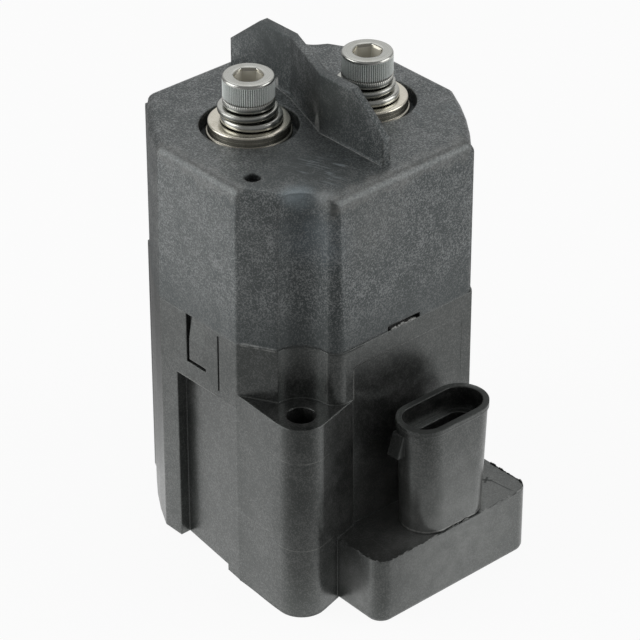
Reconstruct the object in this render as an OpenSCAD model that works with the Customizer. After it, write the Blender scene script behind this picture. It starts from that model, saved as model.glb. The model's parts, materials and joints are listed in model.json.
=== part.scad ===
// High voltage DC contactor: a sealed power switch with a solenoid drive.
// Millimetres, +Z up. The origin is midway between the two mounting holes, on the mounting plane.
// The terminals point to +Z and the control connector stands at the -Y side.

/* [Housing] */
// Width of the housing across X at the parting line
body_w = 58; // [56:0.5:66]
// Depth of the housing across Y at the parting line
body_d = 56.5; // [55:0.5:66]
// Height of the parting line between base and cover
parting_z = 54.9; // [50:0.1:60]
// Height of the cover's flat top
cover_top_z = 87.9; // [82:0.1:96]
// Inward slope of the cover's sides, from its rim to its top
cover_draft = 0.3; // [0.1:0.1:1]
// Wall thickness of base and cover
wall = 2.3; // [1.6:0.1:3]
// Thickness of the cover's roof
roof_t = 5; // [4:0.1:7]
// Fillet round the cover's top edge
top_fillet = 2; // [0.6:0.1:2.2]
// Rounding of the upright edges
edge_r = 0.9; // [0.5:0.1:2]
// Length along X of the two bowed corner faces
bowed_x = 12.5; // [9:0.5:15]
// Length along Y of the two bowed corner faces
bowed_y = 18; // [14:0.5:20]
// Height of the bow on those corner faces
bow = 0.8; // [0.4:0.1:1.5]
// Length along X of the two corner flats that face the bolts
flat_x = 8.8; // [7:0.1:11]
// Length along Y of the two corner flats that face the bolts
flat_y = 15.9; // [13:0.1:18]
// Width of the bead at the end of each bowed corner face
bead_w = 3; // [2:0.1:5]
// Height of that bead above the bowed face
bead_h = 0.6; // [0.2:0.1:1.5]
// Height of that bead's lower end above the mounting plane
bead_z = 2.5; // [2:0.1:12]
// Distance of that bead's upper end below the cover's top
bead_drop = 2.4; // [2:0.1:8]
// Height of the base floor's underside above the mounting plane
foot_h = 1.5; // [0.5:0.1:3]
// Thickness of the base floor
floor_t = 2; // [1.5:0.1:3]
// Height of the base's inner lip inside the cover
lip_h = 2.5; // [1.5:0.1:4]
// Thickness of that lip
lip_t = 1; // [0.8:0.1:1.5]
// X place of the fill hole in the cover's top
fill_hole_x = -23.2; // [-24:0.1:-20]
// Y place of the fill hole in the cover's top
fill_hole_y = -11; // [-13:0.1:0]
// Diameter of the fill hole in the cover's top
fill_hole_d = 3.2; // [2:0.1:5]

/* [Base faces] */
// Height of the plain collar at the top of the base's sides
collar_h = 14.7; // [12:0.1:18]
// Width of the proud strip left at the bowed corner
strip_w = 4.9; // [3:0.1:8]
// Depth of the recessed side panels
side_panel_depth = 2.2; // [0.6:0.1:2.6]
// Height of the plain band above the front and back panels
band_h = 4.4; // [3:0.1:8]
// Depth of the front and back panels
front_panel_depth = 0.6; // [0.3:0.1:1]
// Width of the latch window in the side collar
latch_w = 4.8; // [4:0.1:8]
// Y place of the latch window's middle
latch_y = -0.9; // [-3:0.1:3]
// Height of the latch window
latch_h = 10.8; // [8:0.1:11.5]
// Width of the slots that free the latch tongue
latch_slot = 0.8; // [0.5:0.1:1.2]
// Depth of those slots
latch_depth = 1.6; // [1:0.1:2]
// Y distance from the latch window to the slit beside it
slit_gap = 4; // [2:0.1:6]
// X place of the middle of the notch in the cover's rim
rim_notch_x = -0.8; // [-6:0.1:6]
// Width of the notch in the cover's rim at the front
rim_notch_w = 8.3; // [5:0.1:14]
// Height of that notch
rim_notch_h = 1.1; // [0.6:0.1:2]

/* [Mounting] */
// X distance of each mounting hole from the middle
bolt_x = 24.5; // [24:0.1:27]
// Y distance of each mounting hole from the middle
bolt_y = 25.65; // [25:0.1:28]
// Diameter of the mounting holes, for M5 screws
bolt_hole_d = 5.6; // [5.3:0.1:6.2]
// Outer diameter of the mounting bosses
boss_d = 10.4; // [9.5:0.1:12]
// Height of the mounting bosses
boss_top_z = 43.4; // [36:0.1:48]
// Diameter of the clearance for the screw head and driver
recess_d = 12; // [11:0.1:13]
// Rounding between that clearance and the front or back face
recess_round = 3; // [2:0.1:4]
// Reach of the boss's web along the front or back face
web_reach = 16.1; // [14:0.1:18]
// Reach of the boss's foot along the side face
foot_reach = 20; // [17:0.1:24]

/* [Barrier] */
// Height of the barrier above the cover
barrier_h = 12.5; // [8:0.1:18]
// Height of the barrier at its two ends
barrier_end_h = 5.5; // [3:0.1:8]
// Thickness of the barrier
barrier_t = 1.85; // [1.4:0.05:2.6]
// Length of the barrier across the cover
barrier_l = 49.9; // [44:0.1:51]
// Length of the barrier's level top
barrier_level = 32.3; // [24:0.1:40]
// Sideways step between the barrier's two straight runs
barrier_jog = 5.75; // [3:0.05:8]
// Length in Y over which the barrier makes that step
barrier_jog_l = 14.7; // [10:0.1:20]

/* [Connector] */
// Width of the connector tray
tray_w = 40; // [36:0.1:42]
// Reach of the tray in front of the housing's middle
tray_reach = 41.7; // [40:0.1:46]
// Height of the tray
tray_h = 14.3; // [13:0.1:18]
// Rounding of the tray's upright corners
tray_r = 3; // [2:0.1:5]
// Rounding of the tray's lower edge
tray_edge_r = 0.8; // [0.4:0.1:1.8]
// Wall thickness of the tray
tray_wall = 2; // [1.5:0.1:2.5]
// Sideways place of the socket from the tray's middle
socket_shift = 0.95; // [-6:0.05:6]
// Outer length of the socket's shroud
shroud_w = 20.1; // [17:0.1:24]
// Outer width of the socket's shroud
shroud_d = 10.6; // [10:0.1:12]
// Height of the shroud above the tray
shroud_h = 24.2; // [20:0.1:28]
// Narrowing of the shroud's length at each end, from its mouth to the tray
shroud_taper = 1.2; // [0.4:0.1:1.6]
// Wall thickness of the shroud
shroud_wall = 1; // [0.8:0.1:1.2]
// Height of the bead round the shroud's mouth
rim_h = 1.2; // [0.6:0.1:2]
// Projection of that bead
rim_lip = 0.25; // [0.1:0.05:0.5]
// Depth of the mouth down to the seal ledge
mouth_depth = 5; // [3:0.1:8]
// Width of the seal ledge
ledge_w = 1.3; // [0.6:0.1:1.5]
// Thickness of the socket's floor above the tray
socket_floor_t = 4; // [2:0.1:6]
// Width of the latch wedges at the shroud's ends
wedge_w = 3; // [2:0.1:4]
// Projection of the latch wedges
wedge_out = 1.5; // [0.8:0.1:2]
// Height of the latch wedges
wedge_h = 4.5; // [3:0.1:7]
// Y distance of the latch wedges from the socket's middle
wedge_shift = 1.5; // [0:0.1:2]
// Width of the connector's blade pins
pin_w = 1.5; // [1:0.1:2]
// Thickness of the connector's blade pins
pin_t = 0.64; // [0.5:0.01:0.8]
// Distance between the two pins
pin_pitch = 6; // [4:0.1:8]
// Length of the pins above the socket's floor
pin_free_l = 8; // [6:0.1:10]

/* [Terminals] */
// X place of the terminals' and the drive's common axis
axis_x = 1.3; // [-2:0.1:2]
// Y place of the terminals' and the drive's common axis
axis_y = 1.2; // [-2:0.1:2]
// Distance between the two terminals
terminal_pitch = 24.4; // [22:0.1:25]
// Turn of the terminal line from the X axis
terminal_turn = -18.2; // [-24:0.1:-10]
// Diameter of the terminal's contact face
terminal_d = 15.8; // [14.5:0.1:16.5]
// Height of the contact face above the cover
terminal_rise = 1.15; // [0.4:0.05:3]
// Thickness of the terminal's head
terminal_head_t = 2; // [1.5:0.1:3]
// Diameter of the foot flange under the head
terminal_foot_d = 16.6; // [15.8:0.1:17.2]
// Thickness of the foot flange
terminal_foot_t = 0.7; // [0.4:0.1:1]
// Diameter of the terminal's neck through the cover
neck_d = 13.8; // [12:0.1:14.5]
// Diameter of the terminal's stem inside the arc chamber
stem_d = 9; // [8:0.1:10]
// Diameter of the pocket round each terminal
pocket_d = 19.2; // [18.5:0.1:20.5]
// Depth of that pocket
pocket_depth = 3; // [2.5:0.1:3.5]
// Nominal thread diameter of the terminal screws
screw_d = 6; // [5:0.5:6]
// Diameter of the screw's head
head_d = 10; // [9:0.1:10.5]
// Height of the screw's head
head_h = 6; // [5:0.1:7]
// Width across the flats of the hexagon socket
hex_af = 5; // [4:0.5:5.5]
// Depth of the hexagon socket
hex_depth = 3; // [2:0.1:4]
// Length of the screw's shank
shank_l = 14; // [12:0.5:16]
// Outer diameter of the flat washers
washer_d = 12; // [11:0.1:13]
// Thickness of the flat washers
washer_t = 1.6; // [1:0.1:2]
// Outer diameter of the split lock washers
lock_d = 11.6; // [10.8:0.1:12.2]
// Thickness of the split lock washers
lock_t = 1.6; // [1.2:0.1:2]
// Rise of the lock washer from one cut end to the other
lock_rise = 0.22; // [0.1:0.01:0.6]
// Angle of the cut in the lock washer
lock_gap = 10; // [6:1:20]

/* [Contacts] */
// Travel of the armature
stroke = 2; // [1.5:0.1:3]
// Part of the travel that only compresses the contact spring
overtravel = 0.5; // [0.3:0.1:0.8]
// Height of the bridge above the top plate
bridge_rise = 13; // [11:0.1:15]
// Thickness of the contact bridge
bridge_t = 3; // [2:0.1:4]
// Width of the contact bridge
bridge_w = 9; // [7:0.1:11]
// Height of the contact pads on the bridge
pad_h = 0.6; // [0.3:0.1:1]
// Diameter of the contact pads on the bridge
pad_d = 7; // [5:0.1:8]
// Wall thickness of the ceramic arc chamber
chamber_wall = 2.5; // [2:0.1:3]
// Thickness of the arc chamber's roof
chamber_roof_t = 3; // [2:0.1:4]
// Space between the bridge and the chamber's inner walls
chamber_room = 4; // [2.5:0.1:4.5]
// Space between the arc chamber and the cover's roof
head_room = 7; // [4:0.1:9]
// Thickness of the metal flange that seals the arc chamber
seal_t = 2.5; // [1.5:0.1:3.5]
// Free length of the contact spring
contact_spring_l = 6; // [5:0.1:7]
// Wire diameter of the contact spring
contact_wire_d = 0.9; // [0.7:0.05:1.1]
// Turns of the contact spring
contact_turns = 4; // [3:0.5:4]
// Thickness of the clip on the shaft's end
clip_t = 0.8; // [0.6:0.1:1]

/* [Solenoid] */
// Outer diameter of the coil's bobbin
coil_d = 35.6; // [30:0.1:36]
// Thickness of the bobbin's flanges and tube
bobbin_t = 1.2; // [0.8:0.1:1.6]
// Depth of the winding below the bobbin's rim
winding_inset = 0.8; // [0.4:0.1:2]
// Diameter of the moving core
core_d = 13.6; // [11:0.1:15]
// Length of the fixed core below the top plate
fixed_core_l = 13; // [10:0.1:16]
// Diameter of the fixed core's neck through the top plate
core_neck_d = 9.6; // [8:0.1:11]
// Diameter of the shaft
shaft_d = 4; // [3.5:0.1:4.5]
// Wall thickness of the core's sleeve
sleeve_t = 0.5; // [0.3:0.05:0.8]
// Thickness of the yoke's plates
plate_t = 3; // [2:0.1:4]
// Width of the yoke across its legs
yoke_w = 22; // [18:0.1:23]
// Depth of the top plate below the parting line
plate_drop = 10; // [8:0.1:12]
// Outer diameter of the return spring
return_spring_d = 7.6; // [7:0.1:8]
// Wire diameter of the return spring
return_wire_d = 0.8; // [0.6:0.05:1]
// Turns of the return spring
return_turns = 7; // [5:0.5:8]
// Depth of the return spring's seat in the moving core
core_seat_depth = 8; // [5:0.1:10]
// Depth of the return spring's seat in the fixed core
fixed_seat_depth = 4; // [2:0.1:6]

/* [Magnets] */
// Length of the blowout magnets
magnet_l = 28; // [20:0.1:30]
// Height of the blowout magnets
magnet_h = 16; // [12:0.1:20]
// Thickness of the blowout magnets
magnet_t = 3; // [2:0.1:3.5]
// Thickness of the steel plates behind the magnets
magnet_plate_t = 1.5; // [1:0.1:2]

/* [Board] */
// Thickness of the circuit board
board_t = 1.6; // [1:0.1:2]
// Space between the board and the tray's walls
board_gap = 0.4; // [0.2:0.1:0.8]
// Height of the free space above the board
board_head = 4.3; // [3.5:0.1:5]
// Diameter of the coil's two leads
lead_d = 1.2; // [0.8:0.1:1.6]
// Distance from each pin's edge to the lead beside it
lead_gap = 1.2; // [1:0.1:3]
// Thickness of the tray's bottom cover
tray_cover_t = 1.5; // [1:0.1:2]

/* [Clearances] */
// Radial clearance of the shaft and the moving core
run_clear = 0.06; // [0.02:0.01:0.1]
// Clearance of pieces that are assembled and stay put
slip_clear = 0.1; // [0.05:0.01:0.2]
// Gap that is left where moving pieces meet at the end of their travel
stop_gap = 0.1; // [0.05:0.01:0.2]

/* [Hidden] */
$fn = 64;
HULL_FN = 24;
EPS = 0.01;
CUT = 1;

// Colours
plastic = [0.22, 0.225, 0.23];
nickel = [0.76, 0.75, 0.71];
copper = [0.78, 0.48, 0.32];
steel = [0.6, 0.61, 0.62];
ceramic = [0.92, 0.9, 0.86];

// Half sizes of the housing
hw = body_w / 2;
hd = body_d / 2;
boss_r = boss_d / 2;
recess_r = recess_d / 2;
bolt = [-bolt_x, -bolt_y];

// Ends of the recessed side panel along Y
panel_y0 = -hd + flat_y;
panel_y1 = hd - bowed_y - strip_w;

// Heights of the drive, from the floor up
floor_z = foot_h + floor_t;
bobbin_z = floor_z + plate_t;
plate_top_z = parting_z - plate_drop;
plate_z = plate_top_z - plate_t;
bobbin_top_z = plate_z - sleeve_t;
fixed_core_z = plate_z - fixed_core_l;
core_top_z = fixed_core_z - stroke - stop_gap;
core_z = floor_z + sleeve_t + stop_gap;
bridge_z = plate_top_z + bridge_rise;
bridge_top_z = bridge_z + bridge_t;
clip_z = bridge_top_z + stop_gap;
fixed_contact_z = bridge_top_z + pad_h + stroke - overtravel + stop_gap;
collar_z = bridge_z - contact_spring_l;
chamber_z = plate_top_z + seal_t;
ceiling_z = cover_top_z - roof_t;
chamber_top_z = ceiling_z - head_room;
terminal_z = cover_top_z + terminal_rise;

// Radii of the drive
core_r = core_d / 2;
shaft_r = shaft_d / 2;
sleeve_r = core_r + run_clear + sleeve_t;
bobbin_bore_r = sleeve_r + slip_clear;
bobbin_tube_r = bobbin_bore_r + bobbin_t;
return_seat_r = return_spring_d / 2 + slip_clear;
contact_spring_r = shaft_r + run_clear + 1.3 * contact_wire_d;
shaft_collar_r = contact_spring_r + contact_wire_d;
shaft_collar_t = 1.2;
groove_depth = 0.4;
yoke_l = coil_d + 2 * slip_clear + 2 * plate_t;

// Sizes of the switching chamber
bridge_l = terminal_pitch + bridge_w;
chamber_l = bridge_l + 2 * chamber_wall + chamber_room / 2;
chamber_w = bridge_w + 2 * chamber_wall + 2 * chamber_room;
seal_rim = 1;

// Steps of the mounting web's curve
web_steps = 10;

// Places of the tray and its socket
tray_x0 = axis_x - tray_w / 2;
tray_x1 = axis_x + tray_w / 2;
tray_back_y = -hd - tray_wall;
socket_x = axis_x + socket_shift;
socket_y = -tray_reach + shroud_d / 2 + rim_lip;
shroud_top_z = tray_h + shroud_h;
socket_floor_z = tray_h + socket_floor_t;
board_z = tray_h - tray_wall - board_head - board_t;
lead_z = board_z + board_t + 1.6 * lead_d;
lead_off = pin_pitch / 2 + pin_w / 2 + lead_gap;
lead_places = [socket_x - lead_off, socket_x + lead_off];
lead_end_y = tray_back_y - board_gap - 1.2 * lead_d;
board_l = tray_w - 2 * tray_wall - 2 * board_gap;
board_w = tray_reach - tray_wall + tray_back_y - 2 * board_gap;

// Straight run of the screw stack
lock_z = terminal_z + washer_t;
head_z = lock_z + lock_t + lock_rise;

// Corner of a face that runs off at a chamfer, when all faces move in by d
function chamfer_shift(along, across, d) = d * (norm([along, across]) - along) / across;

// Corners of the housing's plan, moved in by d, from the front left corner and anticlockwise
function plan_corners(d) =
    let(
        w = hw - d,
        h = hd - d,
        fx = hw - flat_x - chamfer_shift(flat_x, flat_y, d),
        fy = hd - flat_y - chamfer_shift(flat_y, flat_x, d),
        bx = hw - bowed_x - chamfer_shift(bowed_x, bowed_y, d),
        by = hd - bowed_y - chamfer_shift(bowed_y, bowed_x, d)
    )
    [[-fx, -h], [bx, -h], [w, -by], [w, fy], [fx, h], [-bx, h], [-w, by], [-w, -fy]];

// Points on the bow between two corners
function bow_points(a, b) =
    let(n = [b.y - a.y, a.x - b.x] / norm(b - a))
    [for (t = [0.25, 0.5, 0.75]) a + t * (b - a) + 4 * t * (1 - t) * bow * n];

// The same plan with its two bowed corner faces
function plan_points(d) =
    let(c = plan_corners(d))
    concat(c, bow_points(c[1], c[2]), bow_points(c[5], c[6]));

// Point where a line from p touches a circle, on the side given by s
function touch_point(p, c, r, s) =
    let(
        v = p - c,
        a = atan2(v.y, v.x) + s * acos(r / norm(v))
    )
    c + r * [cos(a), sin(a)];

// A thing and its copy turned half round the origin
module twice() {
    children();
    rotate([0, 0, 180]) children();
}

// Things placed on the common axis of terminals and drive, turned with the terminal line
module on_axis(z = 0) {
    translate([axis_x, axis_y, z]) rotate([0, 0, terminal_turn]) children();
}

// One child at each terminal
module at_terminals(z = 0) {
    for (side = [-1, 1]) {
        on_axis(z) translate([side * terminal_pitch / 2, 0, 0]) children();
    }
}

// Thin plan of the housing at height z, moved in by d, as one layer of a hull
module plan_layer(z, d) {
    for (p = plan_points(d + edge_r)) {
        translate([p.x, p.y, z]) cylinder(r = edge_r, h = EPS, $fn = HULL_FN);
    }
}

// Straight prism over the housing's corners, moved in by d
module plan_prism(z0, z1, d) {
    translate([0, 0, z0]) linear_extrude(z1 - z0) polygon(plan_corners(d));
}

// Plan of the clearance over one boss, rounded into the front face
module recess_plan(grow = 0) {
    r = recess_r + grow;
    round_r = recess_round - min(grow, recess_round - EPS);
    centre = [
        bolt.x + sqrt(pow(recess_r + recess_round, 2) - pow(-hd + recess_round - bolt.y, 2)),
        -hd + recess_round
    ];
    touch = bolt + min(r / (recess_r + recess_round), 1) * (centre - bolt);
    translate(bolt) circle(r);
    difference() {
        polygon([bolt, touch, centre, [centre.x, -hd - CUT], [bolt.x, -hd - CUT]]);
        translate(centre) circle(round_r);
    }
}

// Both clearances over the bosses
module recesses(z0, z1, grow = 0) {
    twice() translate([0, 0, z0]) linear_extrude(z1 - z0) recess_plan(grow);
}

// Upright bead at the end of each bowed corner face
module beads(z0, z1, d) {
    c = plan_corners(d);
    along = (c[2] - c[1]) / norm(c[2] - c[1]);
    out = [along.y, -along.x];
    twice() translate([0, 0, z0]) linear_extrude(z1 - z0) polygon([
        c[1] - [bead_w, 0],
        c[1] + [bead_h, 0],
        c[1] + bead_w / 2 * along + bead_h * out,
        c[1] + bead_w * along + bow / 2 * out,
        c[1] + 2 * bead_w * along
    ]);
}

// Inner space of the housing between two heights
module inner_space(z0, z1) {
    difference() {
        plan_prism(z0, z1, wall);
        recesses(z0 - CUT, z1 + CUT, wall);
    }
}

// Plate of length l and width w with round corners
module rounded_plan(l, w, r) {
    square([l - 2 * r, w], center = true);
    square([l, w - 2 * r], center = true);
    for (x = [-1, 1], y = [-1, 1]) {
        translate([x * (l / 2 - r), y * (w / 2 - r)]) circle(r);
    }
}

// Oval of overall length l and width w
module oval(l, w) {
    square([l - w, w], center = true);
    for (x = [-1, 1]) {
        translate([x * (l - w) / 2, 0]) circle(w / 2);
    }
}

// Round wire coil with close end turns, from z0 up to z1
module coil_spring(mean_r, wire_d, turns, z0, z1) {
    sides = 8;
    steps_per_turn = 16;
    steps = round(turns * steps_per_turn);
    close = 0.8;
    close_pitch = 1.08 * wire_d;
    low = z0 + wire_d / 2;
    high = z1 - wire_d / 2;
    open_rise = high - low - 2 * close * close_pitch;
    function lift(t) = t < close ? t * close_pitch
        : t > turns - close ? high - low - (turns - t) * close_pitch
        : close * close_pitch + open_rise * (t - close) / (turns - 2 * close);
    points = [
        for (i = [0 : steps], j = [0 : sides - 1])
            let(
                t = turns * i / steps,
                r = mean_r + wire_d / 2 * cos(360 * j / sides),
                z = low + lift(t) + wire_d / 2 * sin(360 * j / sides)
            )
            [r * cos(360 * t), r * sin(360 * t), z]
    ];
    swept(points, steps, sides);
}

// Closed body through rings of points
module swept(points, steps, sides) {
    skin = [
        for (i = [0 : steps - 1], j = [0 : sides - 1])
            let(k = (j + 1) % sides)
            [i * sides + j, (i + 1) * sides + j, (i + 1) * sides + k, i * sides + k]
    ];
    start = [for (j = [0 : sides - 1]) j];
    end = [for (j = [sides - 1 : -1 : 0]) steps * sides + j];
    polyhedron(points, concat(skin, [start], [end]), convexity = 8);
}

// Side view of the barrier: level in the middle and sloped to both ends
module barrier_profile() {
    polygon([
        [-barrier_l / 2, -CUT],
        [barrier_l / 2, -CUT],
        [barrier_l / 2, barrier_end_h],
        [barrier_level / 2, barrier_h],
        [-barrier_level / 2, barrier_h],
        [-barrier_l / 2, barrier_end_h]
    ]);
}

// Plan of the barrier: two straight runs joined by a slanted step
module barrier_plan() {
    x = (barrier_jog - barrier_t) / 2;
    y = barrier_l / 2;
    j = barrier_jog_l / 2;
    t = barrier_t;
    polygon([[x, y], [x, j], [-x - t, -j], [-x - t, -y], [-x, -y], [-x, -j], [x + t, j], [x + t, y]]);
}

module barrier() {
    translate([axis_x, axis_y, cover_top_z]) intersection() {
        translate([0, 0, -CUT]) linear_extrude(barrier_h + CUT) barrier_plan();
        rotate([90, 0, 90]) linear_extrude(2 * barrier_jog, center = true) barrier_profile();
    }
}

// Cover's outer form: drafted sides and a filleted top edge
module cover_form() {
    fillet_steps = 5;
    hull() {
        plan_layer(parting_z, 0);
        for (i = [0 : fillet_steps]) {
            a = 90 * i / fillet_steps;
            plan_layer(
                cover_top_z - top_fillet * (1 - sin(a)) - EPS,
                cover_draft + top_fillet * (1 - cos(a))
            );
        }
    }
    beads(parting_z, cover_top_z - bead_drop, cover_draft);
}

module cover() {
    lip_room = wall + slip_clear;
    color(plastic) {
        difference() {
            cover_form();
            recesses(parting_z - CUT, cover_top_z + CUT);
            inner_space(parting_z - CUT, ceiling_z);
            at_terminals(cover_top_z - pocket_depth) cylinder(d = pocket_d, h = pocket_depth + CUT);
            at_terminals(ceiling_z - CUT) cylinder(d = neck_d + 2 * slip_clear, h = roof_t);
            translate([fill_hole_x, fill_hole_y, ceiling_z - CUT])
                cylinder(d = fill_hole_d, h = roof_t + 2 * CUT);
            translate([rim_notch_x - rim_notch_w / 2, -hd - CUT, parting_z - CUT])
                cube([rim_notch_w, lip_room + CUT, rim_notch_h + CUT]);
        }
        barrier();
    }
}

// Web and boss of one mounting point; the web runs off the side face in a gentle S
module boss_plan() {
    side = [-hw, -hd + flat_y];
    front = [bolt.x - boss_r + web_reach, -hd];
    outmost = bolt - [boss_r, 0];
    flare = [
        for (i = [0 : web_steps])
            let(t = i / web_steps, s = t * t * (3 - 2 * t))
            [side.x + s * (outmost.x - side.x), side.y + t * (outmost.y - side.y)]
    ];
    polygon(concat(flare, [
        bolt,
        touch_point(front, bolt, boss_r, -1),
        front,
        front + [0, wall],
        side + [wall, 0]
    ]));
    translate(bolt) circle(boss_r);
}

// Foot under one boss, carried on along the side wall
module foot_plan() {
    inset = side_panel_depth * (foot_reach - flat_y) / (panel_y1 - panel_y0);
    polygon([
        [-hw + inset + slip_clear, -hd + foot_reach],
        [-hw + slip_clear, -hd + flat_y],
        [-hw + 2 * wall, -hd + flat_y],
        [-hw + 2 * wall, -hd + foot_reach]
    ]);
    boss_plan();
}

// Connector tray with round upright corners and a rounded lower edge
module tray_form() {
    hull() {
        for (x = [tray_x0 + tray_r, tray_x1 - tray_r]) {
            translate([x, -tray_reach + tray_r, tray_edge_r])
                cylinder(r = tray_r, h = tray_h - tray_edge_r, $fn = 32);
            translate([x, -tray_reach + tray_r, 0])
                cylinder(r = tray_r - tray_edge_r, h = EPS, $fn = 32);
            translate([x, -tray_reach + tray_r, 0.3 * tray_edge_r])
                cylinder(r = tray_r - 0.3 * tray_edge_r, h = EPS, $fn = 32);
        }
        translate([tray_x0, -hd, tray_edge_r]) cube([tray_w, wall, tray_h - tray_edge_r]);
        translate([tray_x0 + tray_edge_r, -hd, 0]) cube([tray_w - 2 * tray_edge_r, wall, EPS]);
    }
}

// Socket shroud, its mouth bead and its latch wedges
module shroud_form() {
    translate([socket_x, socket_y, 0]) {
        hull() {
            for (x = [-1, 1]) {
                translate([x * (shroud_w - shroud_d) / 2, 0, shroud_top_z - EPS])
                    cylinder(d = shroud_d, h = EPS, $fn = 32);
                translate([x * ((shroud_w - shroud_d) / 2 - shroud_taper), 0, tray_h - CUT])
                    cylinder(d = shroud_d, h = EPS, $fn = 32);
            }
        }
        translate([0, 0, shroud_top_z - rim_h])
            linear_extrude(rim_h) oval(shroud_w + 2 * rim_lip, shroud_d + 2 * rim_lip);
        for (side = [0, 180]) {
            translate([0, wedge_shift, shroud_top_z - 2 * rim_h]) rotate([0, 0, side])
                translate([shroud_w / 2, wedge_w / 2, 0]) rotate([90, 0, 0])
                    linear_extrude(wedge_w) polygon([
                        [-2 * shroud_wall, 0],
                        [0, 0],
                        [wedge_out, -wedge_h],
                        [-2 * shroud_wall, -wedge_h]
                    ]);
        }
    }
}

// Hollow of the socket: a wide mouth over a ledge, and a narrower well for the pins
module socket_space() {
    mouth_w = shroud_w - 2 * shroud_wall;
    mouth_d = shroud_d - 2 * shroud_wall;
    translate([socket_x, socket_y, 0]) {
        translate([0, 0, shroud_top_z - mouth_depth])
            linear_extrude(mouth_depth + CUT) oval(mouth_w, mouth_d);
        translate([0, 0, socket_floor_z])
            linear_extrude(shroud_h) oval(mouth_w - 2 * ledge_w, mouth_d - 2 * ledge_w);
    }
}

// Latch tongue in the side collar, with the slots that free it and its sloped face
module latch_cuts() {
    y0 = latch_y - latch_w / 2;
    z0 = parting_z - latch_h;
    translate([-hw - CUT, y0 + latch_w, z0]) cube([latch_depth + CUT, latch_slot, latch_h + CUT]);
    translate([-hw - CUT, y0, z0]) cube([latch_depth + CUT, latch_w + latch_slot, latch_slot]);
    translate([-hw - CUT, y0 - slit_gap, z0 - 3 * latch_slot])
        cube([latch_depth + CUT, latch_slot / 2, latch_h + 2 * latch_slot]);
    translate([-hw, y0 + latch_w, parting_z]) rotate([90, 0, 0]) linear_extrude(latch_w) polygon([
        [-CUT, CUT],
        [latch_depth / 2, CUT],
        [latch_depth / 2, 0],
        [0, -latch_h / 2],
        [-CUT, -latch_h / 2]
    ]);
}

// Recessed panel in the side face below the collar, which runs out towards the boss
module side_panel_cut() {
    translate([0, 0, foot_h - CUT]) linear_extrude(parting_z - collar_h - foot_h + CUT) polygon([
        [-hw - CUT, panel_y1],
        [-hw + side_panel_depth, panel_y1],
        [-hw, panel_y0],
        [-hw - CUT, panel_y0]
    ]);
}

// Wall behind that panel, as thick as the other walls
module side_panel_back() {
    translate([0, 0, floor_z - CUT]) linear_extrude(parting_z - collar_h + wall - floor_z + CUT) polygon([
        [-hw, panel_y1 + wall],
        [-hw + side_panel_depth + wall, panel_y1 + wall],
        [-hw + wall, panel_y0],
        [-hw, panel_y0]
    ]);
}

// Shallow panel in the front face below the band, which runs out towards the bowed corner
module front_panel_cut(z0) {
    x0 = bolt.x - boss_r + web_reach;
    x1 = hw - bowed_x - wall;
    top = parting_z - band_h;
    intersection() {
        translate([(x0 + x1) / 2, -hd + front_panel_depth, (z0 + top) / 2])
            rotate([90, 0, 0]) linear_extrude(front_panel_depth + CUT)
                rounded_plan(x1 - x0, top - z0, edge_r);
        translate([0, 0, z0]) linear_extrude(top - z0) polygon([
            [x0, -hd - CUT],
            [x0, -hd + front_panel_depth],
            [x1 - 2 * edge_r, -hd],
            [x1 - 2 * edge_r, -hd - CUT]
        ]);
    }
}

// Space for the board in the tray, and the slot for the leads behind it
module tray_space() {
    translate([tray_x0 + tray_wall, -tray_reach + tray_wall, -CUT])
        cube([tray_w - 2 * tray_wall, tray_reach - tray_wall + tray_back_y, tray_h - tray_wall + CUT]);
    slot_w = 2 * lead_off + 2 * lead_d;
    translate([socket_x - slot_w / 2, tray_back_y - CUT, lead_z - lead_d])
        cube([slot_w, -tray_back_y - hd + wall + 2 * CUT, 2 * lead_d]);
}

module base() {
    color(plastic) difference() {
        union() {
            difference() {
                union() {
                    hull() {
                        plan_layer(foot_h, 0);
                        plan_layer(parting_z - EPS, 0);
                    }
                    beads(bead_z, parting_z, 0);
                }
                recesses(boss_top_z, parting_z + CUT);
                twice() side_panel_cut();
                twice() latch_cuts();
                front_panel_cut(tray_h);
                rotate([0, 0, 180]) front_panel_cut(foot_h + floor_t);
                base_space();
            }
            inner_lip();
            twice() difference() {
                linear_extrude(boss_top_z) boss_plan();
                base_space();
            }
            twice() linear_extrude(floor_z) foot_plan();
            tray_outside();
        }
        tray_space();
        socket_space();
        pin_places() pin_plan_cut();
        twice() translate([bolt.x, bolt.y, -CUT]) cylinder(d = bolt_hole_d, h = boss_top_z + 2 * CUT);
    }
}

// Inner space of the base, with both side panels standing into it
module base_space() {
    difference() {
        inner_space(floor_z, parting_z + CUT);
        twice() side_panel_back();
    }
}

// Ring along the housing's inner wall, from d inside its faces to the lip's inner face
module lip_ring(z0, z1, d) {
    inside = wall + slip_clear + lip_t;
    difference() {
        plan_prism(z0, z1, d);
        recesses(z0 - CUT, z1 + CUT, d);
        difference() {
            plan_prism(z0 - CUT, z1 + CUT, inside);
            recesses(z0 - 2 * CUT, z1 + 2 * CUT, inside);
        }
    }
}

// Lip of the base that stands up inside the cover, rooted in the base's wall
module inner_lip() {
    lip_ring(parting_z - lip_h, parting_z, wall / 2);
    lip_ring(parting_z - lip_h, parting_z + lip_h, wall + slip_clear);
}

// Tray and shroud in front of the housing's inner space
module tray_outside() {
    difference() {
        union() {
            tray_form();
            shroud_form();
        }
        inner_space(floor_z, parting_z);
    }
}

// Both pin places
module pin_places() {
    for (side = [-1, 1]) {
        translate([socket_x + side * pin_pitch / 2, socket_y, 0]) children();
    }
}

// Hole for one pin through the socket's floor
module pin_plan_cut() {
    translate([-pin_w / 2, -pin_t / 2, tray_h - tray_wall - CUT])
        cube([pin_w, pin_t, socket_floor_z - tray_h + tray_wall + 2 * CUT]);
}

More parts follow.
